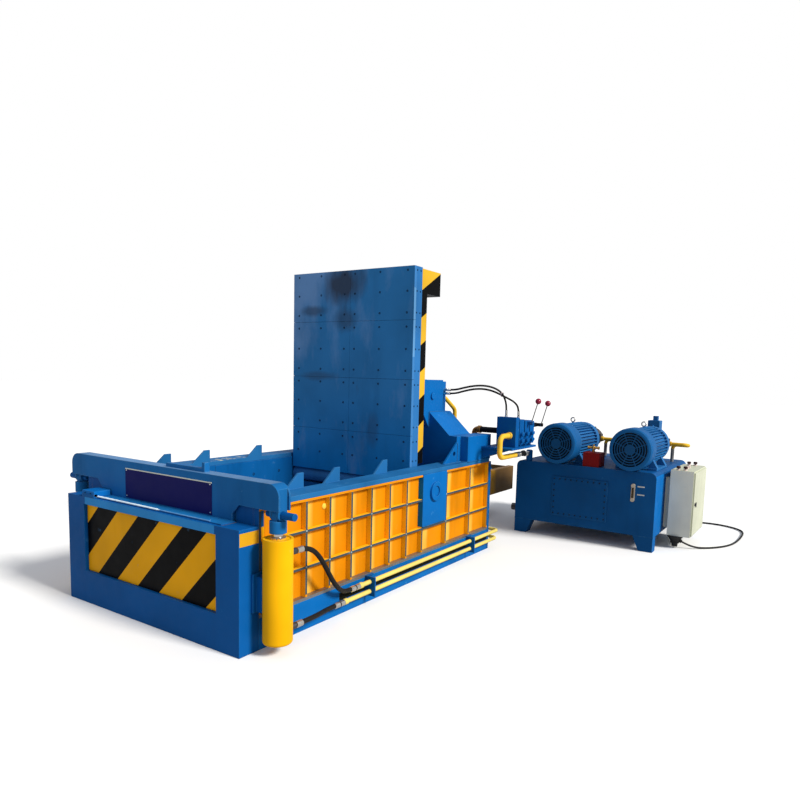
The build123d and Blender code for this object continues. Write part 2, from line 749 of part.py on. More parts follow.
def hose_fittings():
    """Ferrules at both ends of each free hose."""
    fittings = []
    for route in (upper_hose, lower_hose, return_hose):
        radius = return_radius if route is return_hose else hose_radius
        fittings.append(ferrule(route[0], route[1], radius + 4, 40))
        fittings.append(ferrule(route[-1], route[-2], radius + 4, 40))
    for route in (arch_hose, second_hose):
        fittings.append(ferrule(route[0], route[1], arch_radius + 4, 24))
        fittings.append(ferrule(route[-1], route[-2], arch_radius + 4, 24))
    return fittings


def valve_shelf():
    low = shelf_top - shelf_thickness
    shelf = block((shelf_start, valve_end), (-valve_near - 25, -half_width), (low, shelf_top))
    for x in (shelf_start + 20, block_back - 30):
        brace = [(-half_width, low), (-valve_near + 20, low), (-half_width, flange_top + 15)]
        shelf += cross_plate(brace, x, x + 12)
    return shelf


def valve_manifold():
    far = -valve_near + valve_depth
    body = block((valve_front, valve_front + manifold_length), (-valve_near, far), (shelf_top, manifold_top))
    return chamfer(body.edges().filter_by(Axis.Z), 4)


def valve_sections():
    """Three valve sections with spool caps and the lever brackets."""
    start = valve_front + manifold_length
    far = -valve_near + valve_depth - 20
    pitch = (valve_end - start) / 3
    body = block((start, valve_end), (-valve_near + 30, far), (shelf_top, 1250))
    for i in range(3):
        x = start + (i + 0.5) * pitch
        body += block((x - 48, x + 48), (-valve_near, far), (shelf_top + 20, 1268 - 12 * i))
        for z in (1070.0, 1132.0):
            body += bar("Y", -valve_near - 28, -valve_near + 2, (x - 22, z), 20)
            body += bar("Y", -valve_near - 16, -valve_near + 2, (x + 24, z), 15)
    body += bar("Z", 1240, 1280, (3040, -1130), 16)
    end_x, end_z = lever_places[1]
    body += block((valve_end - 4, end_x - 12), (-valve_near + 6, -valve_near + 40), (end_z - 20, end_z + 20))
    for x, z in lever_places:
        for side in (-1, 1):
            ear = block((x + side * 12 - 4, x + side * 12 + 4), (-valve_near - 52, -valve_near + 30),
                        (z - 16, z + 16))
            body += ear
    body -= block((end_x - 30, end_x + 30), (-valve_near + 41, -valve_near + 80), (end_z - 20, end_z + 20))
    for x, z in lever_places:
        body -= bar("X", x - 17, x + 17, (-valve_near - 35, z), 6 + run_fit)
    return body


def lever(x, z):
    """Lever with its pivot hub, cross pin and moulded ball grip."""
    hub = bar("X", x - 7.5, x + 7.5, (-valve_near - 35, z), 13)
    hub += bar("X", x - 20, x + 20, (-valve_near - 35, z), 6)
    line = Pos(x, -valve_near - 35, z) * Rot(lever_tilt, 0, 0)
    hub += line * Pos(0, 0, lever_length / 2) * Cylinder(5, lever_length)
    return hub + line * Pos(0, 0, lever_length + knob_radius * 0.75) * Sphere(knob_radius)


def valve_pipes():
    """Bent steel pipes between the valve, the hose block and the crosshead."""
    y = -1100.0
    low_z, top_z, front = 928.0, 1121.0, 2735.0
    loop = tube([(valve_front, y, top_z), (front, y, top_z), (front, y, low_z), (3071, y, low_z)],
                valve_pipe_radius, bend=58)
    loop += bar("X", valve_front - 24, valve_front, (y, top_z), valve_pipe_radius + 8)
    face = body_end + crosshead_thickness
    cross_x = face + 69
    cross = tube([(cross_x, -985, 1146), (cross_x, -650, 1146), (cross_x, -650, 760), (face, -650, 760)],
                 28, bend=38)
    cross += bar("Y", -720, -690, (cross_x, 1146), 36)
    drop = tube([(2760, -440, 1446), (2840, -440, 1446), (2991, -470, 1330), (2991, -470, wall_top)],
                20, bend=70)
    return [loop, cross, drop]


def oil_tank():
    """Bent-sheet tank with rounded top edges and an access hole in front."""
    outer = [(-tank_near, tank_bottom), (-tank_far, tank_bottom), (-tank_far, tank_top),
             (-tank_near, tank_top)]
    body = cross_plate(outer, tank_front, tank_back)
    tops = body.edges().filter_by(Axis.X).filter_by(lambda e: e.center().Z > tank_top - 1)
    body = fillet(tops, tank_corner)
    wall = tank_wall
    inner = [(-tank_near + wall, tank_bottom + wall), (-tank_far - wall, tank_bottom + wall),
             (-tank_far - wall, tank_top - wall), (-tank_near + wall, tank_top - wall)]
    hollow = cross_plate(inner, tank_front + wall, tank_back - wall)
    tops = hollow.edges().filter_by(Axis.X).filter_by(lambda e: e.center().Z > tank_top - wall - 1)
    body -= fillet(tops, tank_corner - wall)
    body -= block((tank_front, tank_front + wall), (-1720, -1225), (285, 600))
    stub = bar("Y", -tank_far, -tank_far + 62, (3925, 250), 38)
    return body + stub


def tank_legs():
    legs = []
    for x in (tank_front, tank_back - leg_depth):
        for outer, slant in ((-tank_far, -1), (-tank_near, 1)):
            outline = [(outer, 0), (outer + slant * 134, 0), (outer + slant * 195, tank_bottom),
                       (outer, tank_bottom)]
            legs.append(cross_plate(outline, x, x + leg_depth))
    return legs


cover_y = (-1765.0, -1179.0)
cover_z = (237.0, 648.0)


def access_cover():
    cover = block((tank_front - 12, tank_front), cover_y, cover_z)
    return chamfer(cover.faces().sort_by(Axis.X)[0].edges(), 2)


def cover_bolts():
    """Hexagon heads round the edge of the access cover."""
    inset, across, height = 24.0, 16.0, 8.0
    rows = 10
    columns = 7
    places = []
    for i in range(rows):
        y = cover_y[0] + inset + i * (cover_y[1] - cover_y[0] - 2 * inset) / (rows - 1)
        places += [(y, cover_z[0] + inset), (y, cover_z[1] - inset)]
    for i in range(1, columns - 1):
        z = cover_z[0] + inset + i * (cover_z[1] - cover_z[0] - 2 * inset) / (columns - 1)
        places += [(cover_y[0] + inset, z), (cover_y[1] - inset, z)]
    plane = Plane(origin=(tank_front - 12, 0, 0), x_dir=(0, 1, 0), z_dir=(1, 0, 0))
    heads = []
    for y, z in places:
        heads.append(extrude(plane * Pos(y, z) * RegularPolygon(across / 2, 6), -height))
    return heads


def level_gauge():
    y, low, high = -2017.0, 480.0, 661.0
    body = block((tank_front - 22, tank_front), (y - 17, y + 17), (low + 14, high - 14))
    body -= block((tank_front - 22, tank_front - 8), (y - 9, y + 9), (low + 40, high - 40))
    for z in (low + 20, high - 20):
        body += bar("X", tank_front - 30, tank_front, (y, z), 18)
    return body


def service_box():
    body = block((3875, 4055), (-1655, -1483), (tank_top, 920))
    return chamfer(body.edges().filter_by(Axis.Z), 6)


def hose_stub():
    """Elbow on the tank top that takes the return hose."""
    x, y, z = return_hose[-1]
    stub = bar("Z", tank_top, z + 36, (x + 76, y), 34)
    stub = chamfer(stub.edges().group_by(Axis.Z)[-1], 8)
    return stub + bar("X", x + 40, x + 76, (y, z), return_radius + 2)


def motor_housing(y):
    """Finned stator with feet, end shield and eye bolt."""
    start = motor_front + cowl_length
    end = start + stator_length
    sketch = Circle(stator_radius)
    for i in range(motor_fins):
        angle = i * 360 / motor_fins
        sketch += Rot(0, 0, angle) * Pos((stator_radius + fin_radius) / 2 - 4, 0) * Rectangle(
            fin_radius - stator_radius + 8, 6)
    plane = Plane(origin=(start, y, motor_z), x_dir=(0, 1, 0), z_dir=(1, 0, 0))
    body = extrude(plane * sketch, stator_length)
    body += bar("X", end, end + shield_length, (y, motor_z), fin_radius - 6)
    body += bar("X", start - 14, start + 12, (y, motor_z), cowl_radius - 4 - run_fit)
    for side in (-1, 1):
        inner, outer = side * 120, side * 205
        foot = [(y + inner, motor_z - 100), (y + side * 150, motor_z - 100), (y + outer, tank_top + 24),
                (y + outer, tank_top), (y + inner, tank_top)]
        for x in (start + 90, end - 130):
            body += cross_plate(foot, x, x + 60)
        plate = sorted((y + inner, y + outer))
        body += block((start + 70, end - 50), (plate[0], plate[1]), (tank_top, tank_top + 22))
    body += block((start + 210, start + 350), (y + 120, y + 262), (motor_z - 60, motor_z + 90))
    body -= bar("X", start - 14, end + shield_length, (y, motor_z), shaft_radius + run_fit)
    eye_x = start + stator_length / 2
    ring = Pos(eye_x, y, motor_z + fin_radius + 34) * Rot(0, 90, 0) * Torus(22, 7)
    stem = bar("Z", motor_z + stator_radius - 4, motor_z + fin_radius + 16, (eye_x, y), 11)
    return body + stem + ring


def motor_cowl(y):
    """Pressed fan cowl with a ring of slots in its face."""
    inner = cowl_radius - 4
    profile = [(0, 0), (cowl_radius - 30, 0), (cowl_radius - 8, 8), (cowl_radius, 30),
               (cowl_radius, cowl_length - 6), (inner, cowl_length - 6), (inner, 32),
               (cowl_radius - 12, 12), (cowl_radius - 32, 4), (0, 4)]
    face = make_face(Polyline(*[(z, r) for r, z in profile], close=True))
    shell = revolve(Plane.XY * face, Axis.X)
    cuts = Sketch()
    for radius in (60.0, 85.0, 110.0, 135.0, 160.0):
        ring = Circle(radius + 7) - Circle(radius - 7)
        cuts += ring
    spokes = Sketch()
    for i in range(8):
        spokes += Rot(0, 0, i * 45 + 22.5) * Pos(110, 0) * Rectangle(160, 9)
    slots = extrude(Plane.YZ * (cuts - spokes), 12)
    slots = Pos(-4, 0, 0) * slots
    return Pos(motor_front, y, motor_z) * (shell - slots)


def motor_fan(y):
    """Radial fan on the motor shaft, which runs through to the pump coupling."""
    start = motor_front + cowl_length
    end = start + stator_length + shield_length
    shaft = bar("X", motor_front + 40, end + 70, (y, motor_z), shaft_radius)
    shaft += bar("X", end + 30, end + 80, (y, motor_z), 46)
    hub = bar("X", motor_front + 50, motor_front + 120, (y, motor_z), 48)
    disc = bar("X", motor_front + 112, motor_front + 120, (y, motor_z), 168)
    fan = shaft + hub + disc
    for i in range(9):
        blade = block((motor_front + 50, motor_front + 114), (-3, 3), (44, 166))
        fan += Pos(0, y, motor_z) * Rot(i * 40, 0, 0) * blade
    return fan


bell_start = motor_front + cowl_length + stator_length + shield_length
pump_start = bell_start + bell_length
pump_port_x = pump_start + 130.0
pump_spigot = 69.0
relief_z = motor_z + 122.0


def bell_housing(y):
    """Cast bell between motor and pump, with two side windows."""
    bore = pump_spigot + run_fit
    outline = [(0, 92), (0, 175), (16, 175), (22, 140), (bell_length - 22, 105), (bell_length - 16, 125),
               (bell_length, 125), (bell_length, bore), (bell_length - 22, bore), (24, 92)]
    face = make_face(Polyline(*outline, close=True))
    bell = revolve(Plane.XY * face, Axis.X)
    bell -= block((50, 105), (-200, 200), (-34, 34))
    return Pos(bell_start, y, motor_z) * bell


def pump(y):
    """Piston pump: flange, stepped body, end cap and port blocks."""
    body = bar("X", pump_start, pump_start + 18, (y, motor_z), 118)
    for low, high, radius in ((18, 60, 86), (60, 210, 106), (210, 262, 92), (262, pump_length, 62)):
        body += bar("X", pump_start + low, pump_start + high, (y, motor_z), radius)
    body += block((pump_port_x - 45, pump_port_x + 45), (y - 122, y + 122), (motor_z - 45, motor_z + 45))
    body += block((pump_port_x - 40, pump_port_x + 40), (y - 40, y + 40), (motor_z + 60, relief_z))
    return body + bar("X", pump_start - 20, pump_start, (y, motor_z), pump_spigot)


def pump_pipes(y):
    """Pressure pipe that loops out and down to the tank, and the suction leg."""
    x = pump_port_x
    port = y - 122
    reach = 190.0
    pressure = tube([(x, port, 985), (x, port - reach, 985), (x + 105, port - reach, 968),
                     (x + 105, port - 20, 968), (x + 105, port - 20, tank_top)], 19, bend=44)
    pressure += bar("Y", port - 26, port, (x, 985), 27)
    suction = bar("Z", tank_top, motor_z, (x - 20, y), 30)
    suction += bar("Z", tank_top, tank_top + 16, (x - 20, y), 46)
    return [pressure, suction - pump(y)]


def relief_valve():
    """Relief valve block on the near pump."""
    y = motor_y[1]
    x = pump_port_x
    body = block((x - 65, x + 65), (y - 20, y + 105), (relief_z, relief_z + 115))
    body += block((x - 25, x + 25), (y + 10, y + 60), (relief_z + 115, relief_z + 165))
    return body + bar("X", x - 100, x - 65, (y + 50, relief_z + 50), 16)


cabinet_end = cabinet_front + cabinet_length
rim = 25.0
door_edge = 14.0
door_low = cabinet_bottom + door_edge
door_high = cabinet_top - door_edge
door_front = -cabinet_near - door_thickness
hinge_line = (cabinet_end - 5.0, -cabinet_near - 7.0)
hinge_knuckles = (door_low + 90.0, door_high - 90.0)
latch_place = (cabinet_front + 60.0, 460.0)
button_offsets = ((45, 62), (61, 126), (515, 72), (541, 130))
button_places = [(cabinet_front + dx, -cabinet_far - dy) for dx, dy in button_offsets]
lamp_places = [(cabinet_front + dx, -cabinet_far - 110) for dx in (225, 315)]
button_travel = 6.0
stem_radius = 9.0
collar_height = 12.0


def cabinet_body():
    """Sheet-steel box with an inner rim for the door, on two stand-off rails."""
    inside_x = (cabinet_front + sheet, cabinet_end - sheet)
    inside_y = (-cabinet_near, -cabinet_far - sheet)
    inside_z = (cabinet_bottom + sheet, cabinet_top - sheet)
    height = (cabinet_bottom, cabinet_top)
    back = block((cabinet_front, cabinet_end), (-cabinet_far - sheet, -cabinet_far), height)
    sides = [block((cabinet_front, inside_x[0]), inside_y, height),
             block((inside_x[1], cabinet_end), inside_y, height)]
    top = block(inside_x, inside_y, (inside_z[1], cabinet_top))
    bottom = block(inside_x, inside_y, (cabinet_bottom, inside_z[0]))
    for place in button_places:
        top -= bar("Z", inside_z[1], cabinet_top, place, stem_radius + 3)
    bottom -= bar("Z", cabinet_bottom, inside_z[0], power_cable[-1][:2], cable_radius + 5)
    rim_y = (-cabinet_near, -cabinet_near + sheet)
    rims = [block((inside_x[0], cabinet_front + rim), rim_y, inside_z),
            block((cabinet_end - rim, inside_x[1]), rim_y, inside_z),
            block((cabinet_front + rim, cabinet_end - rim), rim_y, (inside_z[0], cabinet_bottom + rim)),
            block((cabinet_front + rim, cabinet_end - rim), rim_y, (cabinet_top - rim, inside_z[1]))]
    rails = []
    for x in (cabinet_front + 90, cabinet_end - 140):
        rails.append(block((x, x + 50), (-cabinet_far, -tank_near), (cabinet_bottom + 60, cabinet_top - 90)))
    knuckles = []
    x, y = hinge_line
    for z in hinge_knuckles:
        for low, high in ((z - 44, z - 22.5), (z + 22.5, z + 44)):
            knuckle = bar("Z", low, high, hinge_line, 6) + block((x - 6, x), (y, -cabinet_near), (low, high))
            knuckles.append(knuckle - bar("Z", low, high, hinge_line, 3 + run_fit))
    return [back, *sides, top, bottom, *rims, *rails, *knuckles]


def cabinet_door():
    """Folded door with hinge leaves, hinge pins and a pad for the latch."""
    left, right = cabinet_front + door_edge, cabinet_end - door_edge
    fold = 2.0
    door = block((left, right), (door_front, -cabinet_near), (door_low, door_high))
    door -= block((left + fold, right - fold), (door_front + fold, -cabinet_near),
                  (door_low + fold, door_high - fold))
    x, z = latch_place
    door += block((x - 20, x + 20), (door_front, -cabinet_near), (z - 20, z + 20))
    door -= bar("Y", door_front, -cabinet_near, latch_place, 8 + run_fit)
    for z in hinge_knuckles:
        door += block((right - 4, hinge_line[0]), (hinge_line[1] - 3, hinge_line[1] + 3), (z - 22, z + 22))
        door += bar("Z", z - 22, z + 22, hinge_line, 6)
        door += bar("Z", z - 40, z + 40, hinge_line, 3)
    return door


def door_latch():
    """Quarter-turn latch with its cam behind the rim."""
    x, z = latch_place
    latch = bar("Y", door_front - 8, -cabinet_near + 8, latch_place, 8)
    latch += bar("Y", door_front - 8, door_front, latch_place, 14)
    latch += block((x - 5, x + 5), (door_front - 18, door_front - 8), (z - 24, z + 24))
    return latch + block((x - 8, x + 8), (-cabinet_near + sheet + 0.5, -cabinet_near + 8), (z - 44, z))


def control_gear():
    """Mounting plate with contactors and a terminal rail."""
    plate_y = -cabinet_far - sheet
    gear = block((cabinet_front + 40, cabinet_end - 40), (plate_y - 12, plate_y), (190, 730))
    for i in range(4):
        x = cabinet_front + 90 + i * 110
        gear += block((x, x + 80), (plate_y - 84, plate_y - 12), (540, 660))
        gear += block((x + 8, x + 72), (plate_y - 72, plate_y - 12), (400, 480))
    return gear + block((cabinet_front + 80, cabinet_end - 80), (plate_y - 52, plate_y - 12), (250, 300))


def push_button(x, y):
    """Button head on its stem."""
    head_low = cabinet_top + collar_height + button_travel + 2
    head = bar("Z", head_low, head_low + 22, (x, y), 20)
    head = fillet(head.edges().group_by(Axis.Z)[-1], 8)
    return head + bar("Z", cabinet_top - 24, head_low, (x, y), stem_radius)


def cabinet_fittings():
    """Button collars, lamps, the moulded cable funnel and the rear gland."""
    pieces = []
    for place in button_places:
        collar = bar("Z", cabinet_top, cabinet_top + collar_height, place, 19)
        hole = bar("Z", cabinet_top, cabinet_top + collar_height, place, stem_radius + run_fit)
        pieces.append(collar - hole)
    for place in lamp_places:
        lamp = bar("Z", cabinet_top, cabinet_top + 8, place, 17)
        lens = bar("Z", cabinet_top, cabinet_top + 28, place, 13)
        pieces.append(lamp + fillet(lens.edges().group_by(Axis.Z)[-1], 9))
    profile = [(0, 15), (28, 15), (30, 44), (42, 50), (44, 74), (76, 116), (82, cabinet_bottom),
               (0, cabinet_bottom)]
    foot = (cabinet_front + 60, -2362, 0)
    plane = Plane(origin=foot, x_dir=(1, 0, 0), z_dir=(0, -1, 0))
    funnel = revolve(plane * make_face(Polyline(*profile, close=True)), Axis(foot, (0, 0, 1)))
    start, toward = Vector(*power_cable[0]), Vector(*power_cable[1])
    direction = (toward - start).normalized()
    sleeve = Plane(origin=start + direction * 4, z_dir=direction) * Cylinder(cable_radius + 9, 56)
    socket = Plane(origin=start + direction * 40, z_dir=direction) * Cylinder(cable_radius + run_fit, 80)
    pieces.append(funnel + sleeve - socket)
    place = power_cable[-1][:2]
    gland = bar("Z", cabinet_bottom - 16, cabinet_bottom, place, 22)
    gland -= bar("Z", cabinet_bottom - 16, cabinet_bottom, place, cable_radius + 5)
    nut = bar("Z", cabinet_bottom + sheet, cabinet_bottom + sheet + 26, place, 20)
    nut -= bar("Z", cabinet_bottom + sheet, cabinet_bottom + sheet + 26, place, cable_radius + run_fit)
    return pieces + [gland, nut]


save("base_frame", base_frame())
save("floor_plate", floor_plate())
save("side_walls", both_sides(side_wall()))
save("wall_panels", both_sides(wall_panel()))
save("wall_ribs", both_sides(wall_ribs()))
save("hinge_plates", both_sides(hinge_plate()))
save("top_flanges", both_sides(top_flange()))
liners = wear_liner()
save("wear_plates", liners, [mirrored(plate) for plate in liners], gate_guides())
save("lid_pins", bar("Y", -half_width - 16, half_width + 16, (hinge_x, hinge_z), hinge_pin_radius),
     cylinder_pin(-cylinder_y), cylinder_pin(cylinder_y))
save("gate_frame", gate_frame())
save("gate_panel", gate_panel())
save("lift_beam", lift_beam(), rod_end(-1), rod_end(1))
save("clevis_pins", clevis_pin(-1), clevis_pin(1))
save("gate_rods", gate_rod(-1), gate_rod(1))
save("gate_cylinders", [gate_barrel(side) for side in (-1, 1)], [gate_gland(side) for side in (-1, 1)])
save("cylinder_brackets", both_sides(cylinder_bracket()))
save("lid_liner", lid_liner())
save("lid_frame", lid_frame())
save("lid_rails", lid_rails())
save("lid_barrels", lid_barrel(-cylinder_y), lid_barrel(cylinder_y))
save("lid_rods", lid_rod(-cylinder_y), lid_rod(cylinder_y))
save("rear_bridge", rear_bridge())
save("crosshead", crosshead())
save("main_cylinder", main_cylinder())
save("cylinder_frame", cylinder_frame())
save("ram_head", ram_head())
save("ram_rod", ram_rod())
save("side_pipes", side_pipes())
save("pipe_clamps", pipe_clamps())
save("hose_fittings", hose_fittings())
for name, route, radius in (("upper_gate_hose", upper_hose, hose_radius),
                            ("lower_gate_hose", lower_hose, hose_radius),
                            ("arch_hose", arch_hose, arch_radius),
                            ("second_arch_hose", second_hose, arch_radius),
                            ("return_hose", return_hose, return_radius),
                            ("power_cable", power_cable, cable_radius)):
    hose = tube(route, radius)
    line = FilletPolyline(*route, radius=corner_radii(route))
    print(name, "length", round(line.length), "radii", [round(r) for r in corner_radii(route)],
          "volume ratio", round(hose.volume / (pi * radius ** 2 * line.length), 4))
    save(name, hose)
save("valve_shelf", valve_shelf())
save("control_valve", valve_manifold(), valve_sections())
save("steel_pipes", valve_pipes(), *[pump_pipes(y) for y in motor_y])
for name, place in zip(("front", "rear"), lever_places):
    save(f"lever_{name}", lever(*place))
save("oil_tank", oil_tank())
save("tank_legs", tank_legs())
save("access_cover", access_cover(), cover_bolts())
save("tank_fittings", level_gauge(), service_box(), hose_stub())
save("motor_housings", [motor_housing(y) for y in motor_y])
save("motor_cowls", [motor_cowl(y) for y in motor_y])
for name, y in zip(("far", "near"), motor_y):
    save(f"motor_fan_{name}", motor_fan(y))
save("bell_housings", [bell_housing(y) for y in motor_y])
save("pumps", [pump(y) for y in motor_y], relief_valve())
save("cabinet_body", cabinet_body())
save("cabinet_door", cabinet_door())
save("door_latch", door_latch())
save("control_gear", control_gear())
save("cabinet_fittings", cabinet_fittings())
for number, place in enumerate(button_places, 1):
    save(f"push_button_{number}", push_button(*place))
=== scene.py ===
import bpy, bmesh
from math import pi, radians, sin
from mathutils import Euler, Matrix, Vector


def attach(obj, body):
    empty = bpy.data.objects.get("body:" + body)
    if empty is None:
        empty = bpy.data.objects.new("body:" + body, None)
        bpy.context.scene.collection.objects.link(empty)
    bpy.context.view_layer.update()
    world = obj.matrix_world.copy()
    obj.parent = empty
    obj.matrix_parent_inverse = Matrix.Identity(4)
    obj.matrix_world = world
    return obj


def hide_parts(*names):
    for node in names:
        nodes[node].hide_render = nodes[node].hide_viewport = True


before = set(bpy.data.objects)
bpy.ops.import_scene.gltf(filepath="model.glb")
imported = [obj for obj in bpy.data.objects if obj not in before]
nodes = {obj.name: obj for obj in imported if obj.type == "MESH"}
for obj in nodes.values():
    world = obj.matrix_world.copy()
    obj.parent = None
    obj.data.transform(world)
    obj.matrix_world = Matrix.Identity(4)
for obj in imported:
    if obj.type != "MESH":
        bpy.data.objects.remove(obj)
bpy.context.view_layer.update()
scene = bpy.context.scene
scene.view_settings.view_transform = "Standard"

# camera, at the photograph's eye point
view = {"place": (-2.5096, -3.6717, 1.6443), "yaw": 32.394, "pitch": 6.164, "roll": 1.717,
        "lens": 29.088, "shiftX": -0.03645, "shiftY": 0.05775}
cameraData = bpy.data.cameras.new("camera")
cameraData.lens = view["lens"]
cameraData.shift_x, cameraData.shift_y = view["shiftX"], view["shiftY"]
cameraData.clip_end = 200
camera = bpy.data.objects.new("camera", cameraData)
scene.collection.objects.link(camera)
turn = Euler((radians(90 - view["pitch"]), 0, radians(view["yaw"] - 90))).to_matrix().to_4x4()
roll = Matrix.Rotation(radians(view["roll"]), 4, "Z")
camera.matrix_world = Matrix.Translation(view["place"]) @ turn @ roll
scene.camera = camera
print("camera placed")

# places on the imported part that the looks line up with, in metres
press = {"ribStart": 0.25, "ribPitch": 0.2245, "ribHalf": 0.008, "lastRibs": (2.196, 2.604),
         "ribRows": (0.410, 0.646), "fins": (0.457, 0.824, 1.392), "hinge": (1.995, 0.700),
         "motors": (-1.225, -1.98), "motorHeight": 0.995,
         "tankEnds": (3.861, 5.14), "tankSides": (-0.763, -2.230)}

# colours in linear light
paints = {
    "blue": (0.0030, 0.098, 0.345), "brightBlue": (0.0030, 0.140, 0.46), "beamBlue": (0.010, 0.145, 0.41),
    "greyTopBlue": (0.11, 0.25, 0.48), "tankBlue": (0.005, 0.086, 0.275), "motorBlue": (0.020, 0.155, 0.42),
    "lidBlue": (0.030, 0.205, 0.50), "lidPale": (0.145, 0.31, 0.61), "lidLow": (0.008, 0.215, 0.60),
    "grill": (0.010, 0.085, 0.23), "gauge": (0.56, 0.50, 0.40), "ribSide": (1.0, 0.56, 0.012),
    "rib": (0.055, 0.085, 0.105), "yellow": (0.96, 0.48, 0.003), "panelYellow": (0.80, 0.275, 0.0025),
    "panelPale": (1.0, 0.60, 0.10), "stripeYellow": (1.0, 0.46, 0.004), "pipeYellow": (0.86, 0.68, 0.18),
    "railYellow": (0.80, 0.46, 0.028), "black": (0.0032, 0.0030, 0.0032), "cabinet": (0.60, 0.62, 0.48),
    "cabinetFront": (0.86, 0.85, 0.72), "red": (0.24, 0.011, 0.012), "knob": (0.26, 0.005, 0.035),
    "sign": (0.009, 0.009, 0.105), "pale": (0.74, 0.74, 0.62), "brown": (0.23, 0.125, 0.04),
    "ochre": (0.62, 0.30, 0.02), "grime": (0.30, 0.28, 0.30), "rust": (0.16, 0.075, 0.035),
    "smudge": (0.040, 0.060, 0.105), "panelShade": (0.55, 0.17, 0.002),
}
paintSpecular = 0.055
plasticSpecular = 0.25
gripRadius = 0.0285


# node helpers
def newMaterial(name, roughness, metallic=0.0):
    material = bpy.data.materials.new(name)
    material.use_nodes = True
    tree = material.node_tree
    shader = tree.nodes["Principled BSDF"]
    shader.inputs["Roughness"].default_value = roughness
    shader.inputs["Metallic"].default_value = metallic
    coords = tree.nodes.new("ShaderNodeTexCoord").outputs["Object"]
    return material, tree, shader, coords


def addNoise(tree, vector, scale, detail=4.0, rough=0.55, stretch=None):
    if stretch:
        mapping = tree.nodes.new("ShaderNodeMapping")
        mapping.inputs["Scale"].default_value = stretch
        tree.links.new(vector, mapping.inputs["Vector"])
        vector = mapping.outputs["Vector"]
    noise = tree.nodes.new("ShaderNodeTexNoise")
    noise.inputs["Scale"].default_value = scale
    noise.inputs["Detail"].default_value = detail
    noise.inputs["Roughness"].default_value = rough
    tree.links.new(vector, noise.inputs["Vector"])
    return noise.outputs["Fac"]


def remap(tree, value, fromLow, fromHigh, toLow=0.0, toHigh=1.0):
    node = tree.nodes.new("ShaderNodeMapRange")
    limits = {"From Min": fromLow, "From Max": fromHigh, "To Min": toLow, "To Max": toHigh}
    for name, number in limits.items():
        node.inputs[name].default_value = number
    tree.links.new(value, node.inputs["Value"])
    return node.outputs["Result"]


def calc(tree, operation, first, second=0.0, third=None):
    node = tree.nodes.new("ShaderNodeMath")
    node.operation = operation
    for socket, value in zip(node.inputs, (first, second, third)):
        if value is None:
            continue
        if isinstance(value, (int, float)):
            socket.default_value = value
        else:
            tree.links.new(value, socket)
    return node.outputs[0]


def blendColour(tree, amount, first, second, mode="MIX"):
    # inputs 0, 6 and 7 of the node are its factor and its two colours, and output 2 is the result
    node = tree.nodes.new("ShaderNodeMix")
    node.data_type = "RGBA"
    node.blend_type = mode
    for socket, value in ((node.inputs[0], amount), (node.inputs[6], first), (node.inputs[7], second)):
        if isinstance(value, (int, float)):
            socket.default_value = value
        elif isinstance(value, tuple):
            socket.default_value = (*value, 1.0)
        else:
            tree.links.new(value, socket)
    return node.outputs[2]


def axisOf(tree, coords, axis):
    node = tree.nodes.new("ShaderNodeSeparateXYZ")
    tree.links.new(coords, node.inputs[0])
    return node.outputs["XYZ".index(axis)]


def addBump(tree, height, strength, distance, normal=None):
    bump = tree.nodes.new("ShaderNodeBump")
    bump.inputs["Strength"].default_value = strength
    bump.inputs["Distance"].default_value = distance
    tree.links.new(height, bump.inputs["Height"])
    if normal:
        tree.links.new(normal, bump.inputs["Normal"])
    return bump.outputs["Normal"]


def edgeWearAndSheen(tree, radius):
    # how far the surface turns near an edge, and the rounded normal there
    bevel = tree.nodes.new("ShaderNodeBevel")
    bevel.samples = 4
    bevel.inputs["Radius"].default_value = radius
    geometry = tree.nodes.new("ShaderNodeNewGeometry")
    dot = tree.nodes.new("ShaderNodeVectorMath")
    dot.operation = "DOT_PRODUCT"
    tree.links.new(bevel.outputs["Normal"], dot.inputs[0])
    tree.links.new(geometry.outputs["Normal"], dot.inputs[1])
    return remap(tree, dot.outputs["Value"], 0.995, 0.80), bevel.outputs["Normal"]


def between(tree, coords, limits):
    # 1 inside the limits given for some of the axes, else 0
    amount = 1.0
    for axis, (start, end) in limits.items():
        place = axisOf(tree, coords, axis)
        for operation, limit in (("GREATER_THAN", start), ("LESS_THAN", end)):
            amount = calc(tree, "MULTIPLY", calc(tree, operation, place, limit), amount)
    return amount


